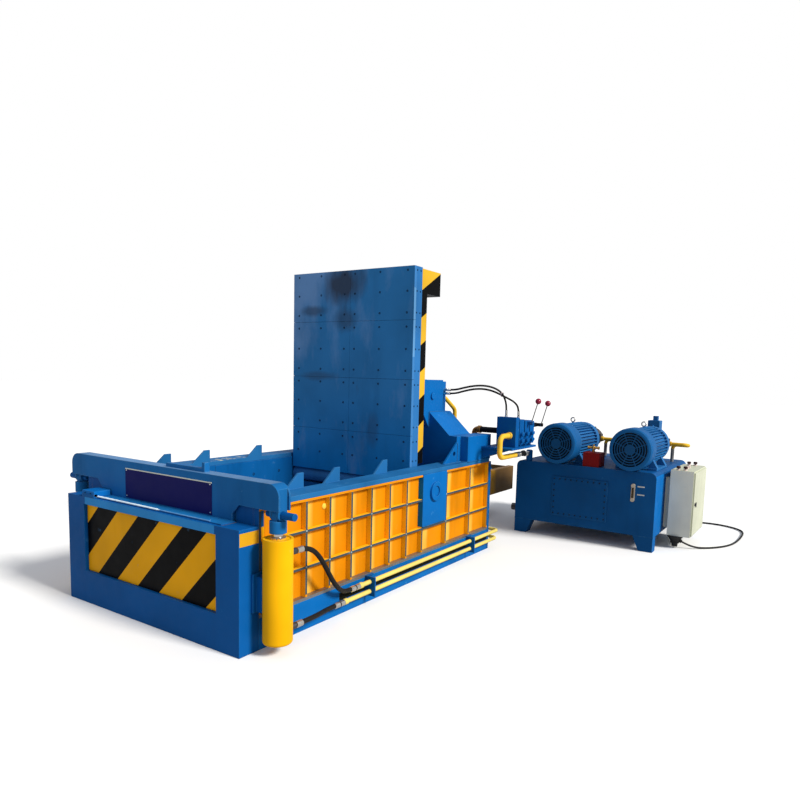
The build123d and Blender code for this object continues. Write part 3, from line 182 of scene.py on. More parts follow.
def paintFinish(tree, shader, coords, colour, dirt=0.25, wear=0.5, edge=0.006, worn=(0.10, 0.25, 0.45),
                roughness=0.42, bare=None):
    # brushed-on workshop enamel: uneven tone, grime, scuffs, and paler edges that are partly edge wear and
    # partly a painted highlight
    tone = addNoise(tree, coords, 1.6, 3.0)
    fine = addNoise(tree, coords, 14.0, 8.0, 0.62)
    streak = addNoise(tree, coords, 5.0, 5.0, 0.6, (1.0, 1.0, 0.16))
    shaded = blendColour(tree, remap(tree, tone, 0.35, 0.68, 0.0, 0.22), colour, (0.0, 0.0, 0.0))
    grime = calc(tree, "MULTIPLY", remap(tree, streak, 0.52, 0.75), dirt)
    shaded = blendColour(tree, grime, shaded, paints["grime"], "MULTIPLY")
    scuff = calc(tree, "MULTIPLY", remap(tree, fine, 0.66, 0.72), wear * 0.6)
    shaded = blendColour(tree, scuff, shaded, worn)
    # paler edges: edge wear mixed with a painted highlight along every turned edge
    turned, rounded = edgeWearAndSheen(tree, edge)
    rubbed = calc(tree, "MULTIPLY", turned, remap(tree, fine, 0.42, 0.58, 0.25 * wear, wear))
    shaded = blendColour(tree, rubbed, shaded, worn)
    if bare:
        limits, bareColour = bare
        chipped = calc(tree, "MULTIPLY", between(tree, coords, limits), remap(tree, fine, 0.50, 0.56))
        shaded = blendColour(tree, chipped, shaded, bareColour)
    rough = remap(tree, fine, 0.3, 0.7, roughness - 0.07, roughness + 0.12)
    tree.links.new(rough, shader.inputs["Roughness"])
    shader.inputs["Specular IOR Level"].default_value = paintSpecular
    normal = addBump(tree, addNoise(tree, coords, 220.0, 2.0), 0.08, 0.001, rounded)
    normal = addBump(tree, addNoise(tree, coords, 3.5, 2.0), 0.12, 0.006, normal)
    tree.links.new(normal, shader.inputs["Normal"])
    return shaded


def paintMaterial(name, colour, patches=(), **more):
    # patches are (limits, colour) pairs painted over the ground colour
    material, tree, shader, coords = newMaterial(name, 0.42)
    for limits, patch in patches:
        colour = blendColour(tree, between(tree, coords, limits), colour, patch)
    tree.links.new(paintFinish(tree, shader, coords, colour, **more), shader.inputs["Base Color"])
    return material


def metalMaterial(name, colour, roughness, metallic=1.0, rust=0.0, scratch=60.0):
    material, tree, shader, coords = newMaterial(name, roughness, metallic)
    fine = addNoise(tree, coords, scratch, 6.0, 0.6)
    patch = addNoise(tree, coords, 4.0, 6.0, 0.65)
    tint = blendColour(tree, remap(tree, fine, 0.3, 0.7, 0.0, 0.4), colour, tuple(c * 0.6 for c in colour))
    if rust:
        tint = blendColour(tree, calc(tree, "MULTIPLY", remap(tree, patch, 0.5, 0.62), rust), tint,
                           paints["rust"])
    tree.links.new(tint, shader.inputs["Base Color"])
    tree.links.new(remap(tree, patch, 0.35, 0.7, roughness * 0.8, min(1.0, roughness * 1.5)),
                   shader.inputs["Roughness"])
    tree.links.new(addBump(tree, fine, 0.15, 0.0008), shader.inputs["Normal"])
    return material


def plasticMaterial(name, colour, roughness):
    material, tree, shader, coords = newMaterial(name, roughness)
    shader.inputs["Specular IOR Level"].default_value = plasticSpecular
    fine = addNoise(tree, coords, 300.0, 2.0)
    patch = addNoise(tree, coords, 18.0, 5.0)
    dusty = tuple(min(1, c * 1.8 + 0.006) for c in colour)
    tint = blendColour(tree, remap(tree, patch, 0.4, 0.7, 0.0, 0.3), colour, dusty)
    tree.links.new(tint, shader.inputs["Base Color"])
    tree.links.new(addBump(tree, fine, 0.1, 0.0006), shader.inputs["Normal"])
    return material


def stripeMaterial(name, slopes, start, period, yellow, limits=None, ground=None):
    # diagonal hazard stripes, masked with tape, inside the limits if there are any
    material, tree, shader, coords = newMaterial(name, 0.45)
    along = calc(tree, "MULTIPLY", addNoise(tree, coords, 60.0, 3.0), 0.004)
    for axis, slope in slopes.items():
        along = calc(tree, "MULTIPLY_ADD", axisOf(tree, coords, axis), slope, along)
    cycle = calc(tree, "FRACT", calc(tree, "DIVIDE", calc(tree, "SUBTRACT", along, start + 0.002), period))
    colour = blendColour(tree, calc(tree, "LESS_THAN", cycle, 0.5), yellow, paints["black"])
    if limits:
        colour = blendColour(tree, between(tree, coords, limits), ground, colour)
    tree.links.new(paintFinish(tree, shader, coords, colour, 0.12, 0.3), shader.inputs["Base Color"])
    return material


def panelMaterial(name):
    # yellow panels, with a paler band beside each rib as a painted highlight and painted shade darkening
    # towards the next rib, blue behind the gate cylinder
    material, tree, shader, coords = newMaterial(name, 0.42)
    along = axisOf(tree, coords, "X")
    firstEdge = press["ribStart"] + press["ribHalf"]
    past = calc(tree, "SUBTRACT", along, firstEdge)
    cycle = calc(tree, "FRACT", calc(tree, "DIVIDE", past, press["ribPitch"]))
    # painted highlight: a paler band beside each rib
    even = remap(tree, along, 1.80, 1.81, 1.0, 0.0)
    pale = calc(tree, "MULTIPLY", remap(tree, cycle, 0.24, 0.42, 1.0, 0.0), even)
    for foot in (1.890, 2.255, 2.672):
        beside = calc(tree, "MULTIPLY", remap(tree, along, foot - 0.03, foot - 0.025),
                      remap(tree, along, foot + 0.055, foot + 0.085, 1.0, 0.0))
        pale = calc(tree, "MAXIMUM", pale, beside)
    uneven = addNoise(tree, coords, 2.2, 3.0)
    pale = calc(tree, "MULTIPLY", pale, remap(tree, uneven, 0.35, 0.6, 0.45, 0.95))
    colour = blendColour(tree, pale, paints["panelYellow"], paints["panelPale"])
    # painted shade: darker towards the foot of the next rib
    shade = calc(tree, "MULTIPLY", calc(tree, "MULTIPLY", remap(tree, cycle, 0.55, 0.93), 0.35), even)
    colour = blendColour(tree, shade, colour, paints["panelShade"])
    front = {"X": (0.0, 0.150)}
    colour = blendColour(tree, between(tree, coords, front), colour, paints["blue"])
    band = {**front, "Y": (-0.9, 0.0), "Z": (0.651, 0.729)}
    colour = blendColour(tree, between(tree, coords, band), colour, paints["yellow"])
    painted = paintFinish(tree, shader, coords, colour, 0.3, 0.3, worn=(0.85, 0.5, 0.15))
    tree.links.new(painted, shader.inputs["Base Color"])
    return material


def spotOn(tree, coords, place, size):
    # soft round spot: 1 in its middle, 0 from its edge on, stretched by a size per axis
    mapping = tree.nodes.new("ShaderNodeMapping")
    mapping.inputs["Location"].default_value = [-c / r for c, r in zip(place, size)]
    mapping.inputs["Scale"].default_value = [1 / r for r in size]
    tree.links.new(coords, mapping.inputs["Vector"])
    length = tree.nodes.new("ShaderNodeVectorMath")
    length.operation = "LENGTH"
    tree.links.new(mapping.outputs["Vector"], length.inputs[0])
    return remap(tree, length.outputs["Value"], 0.0, 1.0, 1.0, 0.0)


def lidMaterial(name):
    # lid face: enamel rubbed pale by scrap near the top, with dark smudges
    material, tree, shader, coords = newMaterial(name, 0.45)
    cloud = addNoise(tree, coords, 4.2, 6.0, 0.6, (1.0, 1.0, 0.42))
    rubbed = calc(tree, "ADD", spotOn(tree, coords, (1.93, 0.62, 2.50), (9.0, 0.75, 0.85)),
                  calc(tree, "MULTIPLY", calc(tree, "SUBTRACT", cloud, 0.5), 2.2))
    low = remap(tree, axisOf(tree, coords, "Z"), 0.85, 1.55, 1.0, 0.0)
    colour = blendColour(tree, low, paints["lidBlue"], paints["lidLow"])
    colour = blendColour(tree, remap(tree, rubbed, 0.12, 0.85), colour, paints["lidPale"])
    drip = addNoise(tree, coords, 7.0, 6.0, 0.6, (1.0, 1.0, 0.3))
    for place, size, strength in (((1.93, 0.07, 2.42), (9.0, 0.32, 0.28), 0.95),
                                  ((1.93, 0.42, 2.20), (9.0, 0.24, 0.07), 0.6),
                                  ((1.93, 0.06, 2.12), (9.0, 0.20, 0.16), 0.6),
                                  ((1.93, 0.35, 1.62), (9.0, 0.30, 0.06), 0.45),
                                  ((1.93, -0.27, 1.17), (9.0, 0.10, 0.20), 0.35)):
        spot = calc(tree, "MULTIPLY", spotOn(tree, coords, place, size), 1.7)
        spot = calc(tree, "ADD", spot, calc(tree, "MULTIPLY", calc(tree, "SUBTRACT", drip, 0.52), 1.5))
        colour = blendColour(tree, calc(tree, "MULTIPLY", remap(tree, spot, 0.25, 1.1), strength), colour,
                             paints["smudge"])
    painted = paintFinish(tree, shader, coords, colour, 0.25, 0.2, worn=(0.06, 0.20, 0.42), edge=0.001)
    tree.links.new(painted, shader.inputs["Base Color"])
    return material


def frameMaterial(name):
    # grimy box frame: ochre near the press, turning dark brown towards its end as a painted shadow of the
    # tank
    material, tree, shader, coords = newMaterial(name, 0.45)
    cloud = calc(tree, "MULTIPLY", addNoise(tree, coords, 6.0, 6.0, 0.6), 0.35)
    # painted shadow: the colour turns from ochre to dark brown past the tank's edge
    along = calc(tree, "ADD", remap(tree, axisOf(tree, coords, "X"), 4.20, 4.36), cloud)
    colour = blendColour(tree, remap(tree, along, 0.15, 0.65), paints["ochre"], paints["brown"])
    painted = paintFinish(tree, shader, coords, colour, 0.8, 0.7, worn=(0.55, 0.36, 0.16))
    tree.links.new(painted, shader.inputs["Base Color"])
    return material


def leverMaterial(name, place):
    # grey rod and red ball grip of one lever, whose grip centre is given
    material, tree, shader, coords = newMaterial(name, 0.25)
    away = tree.nodes.new("ShaderNodeVectorMath")
    away.operation = "DISTANCE"
    away.inputs[1].default_value = place
    tree.links.new(coords, away.inputs[0])
    grip = calc(tree, "LESS_THAN", away.outputs["Value"], gripRadius)
    fine = addNoise(tree, coords, 80.0, 5.0)
    rod = blendColour(tree, remap(tree, fine, 0.35, 0.7), (0.20, 0.20, 0.19), (0.34, 0.33, 0.30))
    tree.links.new(blendColour(tree, grip, rod, paints["knob"]), shader.inputs["Base Color"])
    tree.links.new(remap(tree, grip, 0.0, 1.0, 0.8, 0.0), shader.inputs["Metallic"])
    tree.links.new(addBump(tree, fine, 0.05, 0.0004), shader.inputs["Normal"])
    return material


bluePaint = paintMaterial("blue enamel", paints["blue"], worn=(0.06, 0.26, 0.54))
brightPaint = paintMaterial("bright blue enamel", paints["brightBlue"], worn=(0.10, 0.34, 0.62), dirt=0.2)
# painted shadow: a near-black band on the base's near side between the two pipes, under the upper pipe
basePaint = paintMaterial("base enamel", paints["brightBlue"], worn=(0.10, 0.34, 0.62), dirt=0.35, patches=[
    ({"X": (0.80, 2.985), "Y": (-0.8796, -0.8784), "Z": (0.096, 0.149)}, (0.008, 0.010, 0.006))])
tankPaint = paintMaterial("tank enamel", paints["tankBlue"], worn=(0.06, 0.24, 0.48), wear=0.6, edge=0.010)
motorPaint = paintMaterial("motor enamel", paints["motorBlue"], dirt=0.25, edge=0.003,
                           worn=(0.12, 0.32, 0.56))
# the beam's top face is painted a paler, greyer blue
beamPaint = paintMaterial("beam enamel", paints["beamBlue"], wear=0.6, edge=0.010, worn=(0.10, 0.30, 0.54),
                          patches=[({"Z": (1.0125, 1.0135)}, paints["greyTopBlue"])])
# painted highlight: the lintel's front face is a lighter blue, standing in for a top-lit sloping face; the
# yellow patch on the near side is paint
framePaint = paintMaterial("frame enamel", paints["blue"], worn=(0.06, 0.24, 0.50), patches=[
    ({"X": (-0.076, -0.074), "Y": (-0.67, 0.67), "Z": (0.6985, 0.751)}, (0.030, 0.27, 0.66)),
    ({"X": (-0.070, 0.077), "Y": (-0.90, -0.8785), "Z": (0.651, 0.729)}, (0.70, 0.36, 0.015))])
scrape = {"X": (1.10, 1.55), "Y": (0.69, 0.80), "Z": (0.88, 0.90)}
flangePaint = paintMaterial("flange enamel", (0.018, 0.145, 0.37), dirt=0.3, wear=0.5,
                            worn=(0.12, 0.30, 0.50), bare=(scrape, (0.55, 0.55, 0.40)))
ribPaint = paintMaterial("rib enamel", paints["rib"], dirt=0.3, wear=0.8, edge=0.002,
                         worn=(0.34, 0.36, 0.32), patches=[({"Z": (0.2, 0.2305)}, paints["panelYellow"]),
                                                           ({"Z": (0.8365, 0.86)}, paints["panelYellow"])])
# painted light: the ribs' sides and ends take a yellow brighter than the panels, so their shaded faces do not
# read darker
ribSideLitPaint = paintMaterial("rib side with painted light", paints["ribSide"], dirt=0.15, wear=0.2, worn=(1.0, 0.7, 0.2))
linerPaint = paintMaterial("liner enamel", (0.0035, 0.105, 0.34), dirt=0.45, wear=0.4,
                           worn=(0.10, 0.24, 0.42))
lidPaint = lidMaterial("rubbed lid enamel")
lidSidePaint = paintMaterial("lid frame enamel", (0.030, 0.175, 0.46), worn=(0.20, 0.42, 0.68), wear=0.6)
# painted highlight: a pale band on the upper half of the wear plates' near edge
plateEdgeSheenPaint = paintMaterial("plate edge with painted highlight", (0.05, 0.21, 0.50), dirt=0.1, wear=0.5,
                            worn=(0.10, 0.28, 0.56), patches=[({"Z": (1.80, 2.36)}, (0.12, 0.32, 0.60))])
cowlPaint = paintMaterial("cowl enamel", (0.008, 0.112, 0.33), dirt=0.1, worn=(0.10, 0.32, 0.60), edge=0.010)
grillPaint = paintMaterial("cowl face enamel", paints["grill"], dirt=0.1, wear=0.2, worn=(0.05, 0.14, 0.26))
yellowPaint = paintMaterial("yellow enamel", paints["yellow"], dirt=0.10, wear=0.25, worn=(0.92, 0.68, 0.3))
pipePaint = paintMaterial("pipe yellow enamel", paints["pipeYellow"], dirt=0.3, wear=0.6,
                          worn=(0.92, 0.84, 0.50))
goldPaint = paintMaterial("loop yellow enamel", (0.86, 0.52, 0.045), dirt=0.3, wear=0.5,
                          worn=(0.95, 0.78, 0.4))
brownPaint = frameMaterial("grimy frame enamel with painted shadow")
panelPaint = panelMaterial("panel yellow enamel")
cabinetPaint = paintMaterial("cabinet enamel", paints["cabinet"], dirt=0.10, wear=0.4, edge=0.004,
                             worn=(0.40, 0.40, 0.36), roughness=0.38)
redPaint = paintMaterial("red enamel", paints["red"], dirt=0.3, wear=0.3, worn=(0.3, 0.05, 0.04))
blackPaint = paintMaterial("black enamel", (0.010, 0.012, 0.018), dirt=0.2, wear=0.5, worn=(0.16, 0.13, 0.08))
plugPaint = paintMaterial("plug enamel", (1.0, 0.66, 0.09), dirt=0.1, wear=0.2, worn=(1.0, 0.85, 0.5))
screwPaint = paintMaterial("screw enamel", (0.006, 0.022, 0.060), dirt=0.2, wear=0.3, edge=0.001,
                           worn=(0.05, 0.12, 0.22))
signPaint = paintMaterial("plate enamel", paints["sign"], dirt=0.05, wear=0.2, edge=0.001,
                          worn=(0.1, 0.1, 0.4), patches=[({"Z": (0.9595, 0.97)}, paints["pale"])])
gateStripes = stripeMaterial("gate stripes", {"Y": 1.0, "Z": 1.0}, 1.017, 0.4507, paints["stripeYellow"],
                             {"X": (-0.060, -0.045), "Z": (0.20, 0.7005)}, paints["blue"])
# painted light: the gate panel's top face takes a lighter blue than the rest of the gate, lifting the beam's
# shade
gateTopLitPaint = paintMaterial("gate top with painted light", (0.012, 0.165, 0.44), dirt=0.3, wear=0.3,
                             worn=(0.06, 0.2, 0.4))
# painted light: the cabinet body's faces along X take a paler cream than its sides, lifting the shade on its
# front
cabinetFrontLitPaint = paintMaterial("cabinet front with painted light", paints["cabinetFront"], dirt=0.15, wear=0.4,
                                  edge=0.004, worn=(0.5, 0.5, 0.46), roughness=0.38)
railStripes = stripeMaterial("rail stripes", {"X": -0.6, "Z": 1.0}, 0.8958, 0.4524, paints["railYellow"])
wornSteel = metalMaterial("worn steel", (0.32, 0.33, 0.34), 0.45, 0.85, 0.35)
darkSteel = metalMaterial("oiled steel", (0.10, 0.10, 0.11), 0.42, 0.8, 0.25)
zincSteel = metalMaterial("zinc fittings", (0.80, 0.78, 0.72), 0.3, 1.0, 0.1)
chrome = metalMaterial("ground chrome", (0.72, 0.73, 0.75), 0.12, 1.0, 0.0, 200.0)
brass = metalMaterial("brass", (0.80, 0.50, 0.12), 0.3, 0.9, 0.1)
gaugeMetal = metalMaterial("gauge metal", paints["gauge"], 0.45, 0.3, 0.2)
bronze = metalMaterial("bronze", (0.40, 0.20, 0.06), 0.45, 0.7, 0.4)
blackPlastic = plasticMaterial("black plastic", (0.014, 0.014, 0.015), 0.4)
fanPlastic = plasticMaterial("fan plastic", (0.004, 0.030, 0.075), 0.5)
buttonPlastic = plasticMaterial("button plastic", (0.03, 0.006, 0.008), 0.25)
palePlastic = plasticMaterial("pale plastic", (0.66, 0.50, 0.48), 0.3)
lampLens = plasticMaterial("lamp lens", (0.62, 0.50, 0.46), 0.2)
rubber = plasticMaterial("hose rubber", (0.007, 0.006, 0.005), 0.55)
frontLever = leverMaterial("front lever", (3.185, -1.2609, 1.4404))
rearLever = leverMaterial("rear lever", (3.422, -1.2609, 1.4164))
weldPaint = paintMaterial("weld enamel", (0.010, 0.125, 0.36), wear=0.9, edge=0.002, worn=(0.12, 0.32, 0.52))
# pale band on the gate's top-edge bead: worn paint and a painted glint
glintPaint = paintMaterial("weld with painted glint", (0.10, 0.30, 0.60), wear=0.6, edge=0.003, worn=(0.60, 0.76, 0.88),
                           patches=[({"Y": (-0.12, 0.60), "Z": (0.75, 0.77)}, (0.78, 0.92, 1.0))])
tackPaint = paintMaterial("tack enamel", (0.30, 0.38, 0.42), wear=0.9, edge=0.003, worn=(0.66, 0.70, 0.70))
markPaint = paintMaterial("pale marks", (0.62, 0.64, 0.62), dirt=0.2, wear=0.2, edge=0.0005,
                          worn=(0.4, 0.4, 0.4))
oilGlass = plasticMaterial("oil glass", (0.05, 0.03, 0.01), 0.08)
print("materials made")

# cords: the hoses and the cable, along their routes
cords = {
    "upperGateHose": {
        "node": "upper_gate_hose", "radius": 0.016, "length": 0.845, "lay": "loose", "stiffness": "stiff",
        "points": [
            (0.245, -1.005, 0.590), (0.328, -1.005, 0.590), (0.408, -1.000, 0.556), (0.477, -0.992, 0.494),
            (0.540, -0.983, 0.414), (0.602, -0.973, 0.330), (0.670, -0.961, 0.252), (0.746, -0.944, 0.194),
            (0.828, -0.925, 0.168), (0.917, -0.925, 0.168)]},
    "lowerGateHose": {
        "node": "lower_gate_hose", "radius": 0.016, "length": 0.519, "lay": "loose", "stiffness": "stiff",
        "points": [
            (0.245, -1.005, 0.130), (0.334, -1.005, 0.130), (0.434, -0.990, 0.123), (0.534, -0.957, 0.109),
            (0.640, -0.925, 0.098), (0.752, -0.925, 0.098)]},
    "archHose": {
        "node": "arch_hose", "radius": 0.009, "length": 0.767, "lay": "loose", "stiffness": "medium",
        "points": [
            (2.733, -0.520, 1.524), (2.733, -0.612, 1.524), (2.744, -0.704, 1.550), (2.768, -0.794, 1.570),
            (2.808, -0.880, 1.576), (2.860, -0.956, 1.558), (2.906, -1.010, 1.518), (2.938, -1.036, 1.452),
            (2.955, -1.044, 1.384), (2.955, -1.044, 1.314)]},
    "secondArchHose": {
        "node": "second_arch_hose", "radius": 0.009, "length": 0.832, "lay": "loose", "stiffness": "medium",
        "points": [
            (2.733, -0.520, 1.490), (2.733, -0.612, 1.490), (2.746, -0.702, 1.518), (2.772, -0.788, 1.540),
            (2.816, -0.868, 1.545), (2.872, -0.936, 1.528), (2.930, -0.988, 1.496), (2.980, -1.044, 1.462),
            (3.016, -1.098, 1.428), (3.040, -1.130, 1.374), (3.040, -1.130, 1.304)]},
    "returnHose": {
        "node": "return_hose", "radius": 0.022, "length": 0.762, "lay": "loose", "stiffness": "stiff",
        "points": [
            (3.111, -1.100, 0.928), (3.210, -1.100, 0.928), (3.318, -1.080, 0.927), (3.420, -1.032, 0.919),
            (3.522, -0.972, 0.902), (3.626, -0.916, 0.878), (3.722, -0.886, 0.858), (3.822, -0.886, 0.858)]},
    "powerCable": {
        "node": "power_cable", "radius": 0.009, "length": 3.062, "lay": "loose", "stiffness": "medium",
        "points": [
            (4.232, -2.398, 0.084), (4.262, -2.470, 0.042), (4.312, -2.556, 0.013), (4.376, -2.640, 0.010),
            (4.470, -2.722, 0.010), (4.600, -2.795, 0.010), (4.760, -2.842, 0.010), (4.950, -2.862, 0.010),
            (5.160, -2.868, 0.010), (5.350, -2.862, 0.010), (5.470, -2.832, 0.010), (5.552, -2.765, 0.010),
            (5.610, -2.680, 0.010), (5.646, -2.580, 0.010), (5.652, -2.480, 0.010), (5.636, -2.378, 0.010),
            (5.588, -2.296, 0.010), (5.508, -2.258, 0.010), (5.410, -2.256, 0.010), (5.290, -2.270, 0.010),
            (5.130, -2.300, 0.010), (4.990, -2.348, 0.010), (4.905, -2.384, 0.010), (4.815, -2.398, 0.012),
            (4.730, -2.400, 0.084), (4.730, -2.400, 0.188)]},
}


def layCord(name, node, radius, length, lay, stiffness, points):
    curve = bpy.data.curves.new(name, "CURVE")
    curve.dimensions = "3D"
    curve.bevel_depth = radius
    curve.bevel_resolution = 5
    curve.resolution_u = 10
    curve.use_fill_caps = True
    line = curve.splines.new("NURBS")
    line.points.add(len(points) - 1)
    for point, place in zip(line.points, points):
        point.co = (*place, 1.0)
    line.order_u = 3
    line.use_endpoint_u = True
    cord = bpy.data.objects.new(name, curve)
    scene.collection.objects.link(cord)
    curve.materials.append(rubber)
    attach(cord, "machine")
    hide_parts(node)


for name, facts in cords.items():
    layCord(name, **facts)
print("cords laid")

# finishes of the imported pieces
finishes = {
    bluePaint: ("side_walls", "cylinder_brackets", "lid_barrels", "clevis_pins", "crosshead", "pipe_clamps",
                "valve_shelf", "control_valve", "main_cylinder"),
    brightPaint: ("hinge_plates", "lid_pins", "rear_bridge"),
    basePaint: ("base_frame",),
    tankPaint: ("oil_tank", "tank_legs", "access_cover"),
    motorPaint: ("motor_housings",),
    beamPaint: ("lift_beam",),
    framePaint: ("gate_frame",),
    flangePaint: ("top_flanges",),
    ribSideLitPaint: ("wall_ribs",),
    linerPaint: ("wear_plates", "ram_head"),
    lidPaint: ("lid_liner",),
    lidSidePaint: ("lid_frame",),
    cowlPaint: ("motor_cowls",),
    yellowPaint: ("gate_cylinders",),
    pipePaint: ("side_pipes",),
    goldPaint: ("steel_pipes",),
    brownPaint: ("cylinder_frame",),
    railStripes: ("lid_rails",),
    panelPaint: ("wall_panels",),
    gateStripes: ("gate_panel",),
    blackPaint: ("bell_housings",),
    wornSteel: ("floor_plate",),
    darkSteel: ("pumps", "door_latch"),
    zincSteel: ("hose_fittings",),
    chrome: ("gate_rods", "lid_rods", "ram_rod"),
    cabinetPaint: ("cabinet_body", "cabinet_door"),
    fanPlastic: ("motor_fan_far", "motor_fan_near"),
    blackPlastic: ("control_gear", "cabinet_fittings"),
    buttonPlastic: ("push_button_1", "push_button_2", "push_button_3", "push_button_4"),
    frontLever: ("lever_front",),
    rearLever: ("lever_rear",),
    redPaint: ("tank_fittings",),
}
for material, names in finishes.items():
    for name in names:
        mesh = nodes[name].data
        mesh.materials.clear()
        mesh.materials.append(material)
        for face in mesh.polygons:
            face.material_index = 0


def repaint(name, material, limits):
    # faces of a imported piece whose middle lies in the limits
    mesh = nodes[name].data
    mesh.materials.append(material)
    index = len(mesh.materials) - 1
    for face in mesh.polygons:
        if all(start < face.center["XYZ".index(axis)] < end for axis, (start, end) in limits.items()):
            face.material_index = index


def repaintRound(name, material, middle, radius, limits):
    # the same, within a radius of an axis along X
    mesh = nodes[name].data
    mesh.materials.append(material)
    index = len(mesh.materials) - 1
    for face in mesh.polygons:
        away = Vector((face.center.y - middle[0], face.center.z - middle[1])).length
        if away < radius and limits[0] < face.center.x < limits[1]:
            face.material_index = index


def repaintFacing(name, material, direction, limits):
    # the same, for faces that look along a direction
    mesh = nodes[name].data
    mesh.materials.append(material)
    index = len(mesh.materials) - 1
    for face in mesh.polygons:
        inside = all(start < face.center["XYZ".index(axis)] < end for axis, (start, end) in limits.items())
        if inside and abs(face.normal.dot(direction)) > 0.9:
            face.material_index = index


repaint("tank_fittings", gaugeMetal, {"X": (3.80, 3.8615)})
repaint("pumps", motorPaint, {"Z": (1.117, 1.30)})
repaint("motor_housings", zincSteel, {"Z": (1.20, 1.26)})
repaint("oil_tank", darkSteel, {"Y": (-0.755, -0.70)})
# painted light: the tank's and legs' side faces along Y take a brighter blue than their fronts
for name in ("oil_tank", "tank_legs"):
    repaintFacing(name, brightPaint, Vector((0, 1, 0)), {"Y": (-2.24, -2.22)})
repaintFacing("wall_ribs", bluePaint, Vector((1, 0, 0)), {"X": (0.070, 0.080)})
# painted light on the cabinet body's front and back faces
repaintFacing("cabinet_body", cabinetFrontLitPaint, Vector((1, 0, 0)), {})
repaint("access_cover", screwPaint, {"X": (3.84, 3.8486)})
repaint("tank_fittings", bluePaint, {"Y": (-1.0, -0.7)})
repaint("steel_pipes", blackPaint, {"X": (3.04, 3.13), "Y": (-1.0, -0.6)})
repaint("steel_pipes", bronze, {"X": (2.70, 3.13), "Y": (-0.74, -0.55)})
repaint("hose_fittings", darkSteel, {"X": (0.20, 0.25)})
repaintFacing("wall_ribs", ribPaint, Vector((0, 1, 0)), {"Y": (-0.8795, -0.8785)})
repaintFacing("wall_ribs", ribPaint, Vector((0, 1, 0)), {"Y": (0.8785, 0.8795)})
# the wear plates' near edge, with its painted highlight
repaintFacing("lid_liner", plateEdgeSheenPaint, Vector((0, 1, 0)), {"Y": (-0.70, -0.66)})
# painted light on the gate panel's top face
repaintFacing("gate_panel", gateTopLitPaint, Vector((0, 0, 1)), {"Z": (0.75, 0.76)})
repaint("steel_pipes", wornSteel, {"X": (4.5, 5.3), "Z": (0.7, 0.905)})
repaint("cabinet_fittings", palePlastic, {"Z": (0.789, 0.803)})
repaint("cabinet_fittings", lampLens, {"Z": (0.803, 0.83)})
repaint("wear_plates", wornSteel, {"X": (-0.06, 0.06)})
repaint("control_valve", blackPaint, {"X": (3.345, 3.45)})
repaint("gate_cylinders", wornSteel, {"Z": (0.6955, 0.71)})
for place in press["motors"]:
    repaintRound("motor_cowls", grillPaint, (place, press["motorHeight"]), 0.168, (3.77, 3.79))
print("packed pieces painted")


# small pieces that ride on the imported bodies
def newPiece(name, shape, body, material):
    bmesh.ops.remove_doubles(shape, verts=shape.verts, dist=0.00002)
    bmesh.ops.recalc_face_normals(shape, faces=shape.faces)
    mesh = bpy.data.meshes.new(name)
    shape.to_mesh(mesh)
    shape.free()
    mesh.materials.append(material)
    piece = bpy.data.objects.new(name, mesh)
    scene.collection.objects.link(piece)
    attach(piece, body)


def facing(axis):
    # turns local +Z to the named direction
    return {"-X": Matrix.Rotation(-pi / 2, 4, "Y"), "+X": Matrix.Rotation(pi / 2, 4, "Y"),
            "-Y": Matrix.Rotation(pi / 2, 4, "X"), "+Y": Matrix.Rotation(-pi / 2, 4, "X"),
            "+Z": Matrix.Identity(4)}[axis]


def addScrew(shape, place, axis, radius, height, sides=16, socket=True):
    # low conical head with a sunk socket
    matrix = Matrix.Translation(place) @ facing(axis) @ Matrix.Translation((0, 0, height / 2))
    made = bmesh.ops.create_cone(shape, cap_ends=True, segments=sides, radius1=radius, radius2=radius * 0.8,
                                 depth=height, matrix=matrix)
    if socket:
        outward = facing(axis).to_3x3() @ Vector((0, 0, 1))
        caps = [f for f in {f for v in made["verts"] for f in v.link_faces} if f.normal.dot(outward) > 0.99]
        bmesh.ops.inset_region(shape, faces=caps, thickness=radius * 0.3, depth=0)
        bmesh.ops.inset_region(shape, faces=caps, thickness=radius * 0.08, depth=-height * 1.2)


def addTurned(shape, place, axis, profile, sides=24):
    # turned body from (distance along the axis, radius) pairs, closed on its axis
    matrix = Matrix.Translation(place) @ facing(axis)
    outline = [(profile[0][0], 0.0), *profile, (profile[-1][0], 0.0)]
    corners = [shape.verts.new(matrix @ Vector((radius, 0, distance))) for distance, radius in outline]
    lines = [shape.edges.new(pair) for pair in zip(corners, corners[1:])]
    bmesh.ops.spin(shape, geom=corners + lines, cent=place, axis=matrix.to_3x3() @ Vector((0, 0, 1)),
                   angle=2 * pi, steps=sides, use_merge=True)


def addBlock(shape, low, high, bevel=0.001):
    centre = [(a + b) / 2 for a, b in zip(low, high)]
    size = [b - a for a, b in zip(low, high)]
    matrix = Matrix.Translation(centre) @ Matrix.Diagonal((*size, 1.0))
    made = bmesh.ops.create_cube(shape, size=1.0, matrix=matrix)
    edges = list({e for v in made["verts"] for e in v.link_edges})
    bmesh.ops.bevel(shape, geom=edges, offset=bevel, affect="EDGES", segments=2, profile=0.5, material=-1)


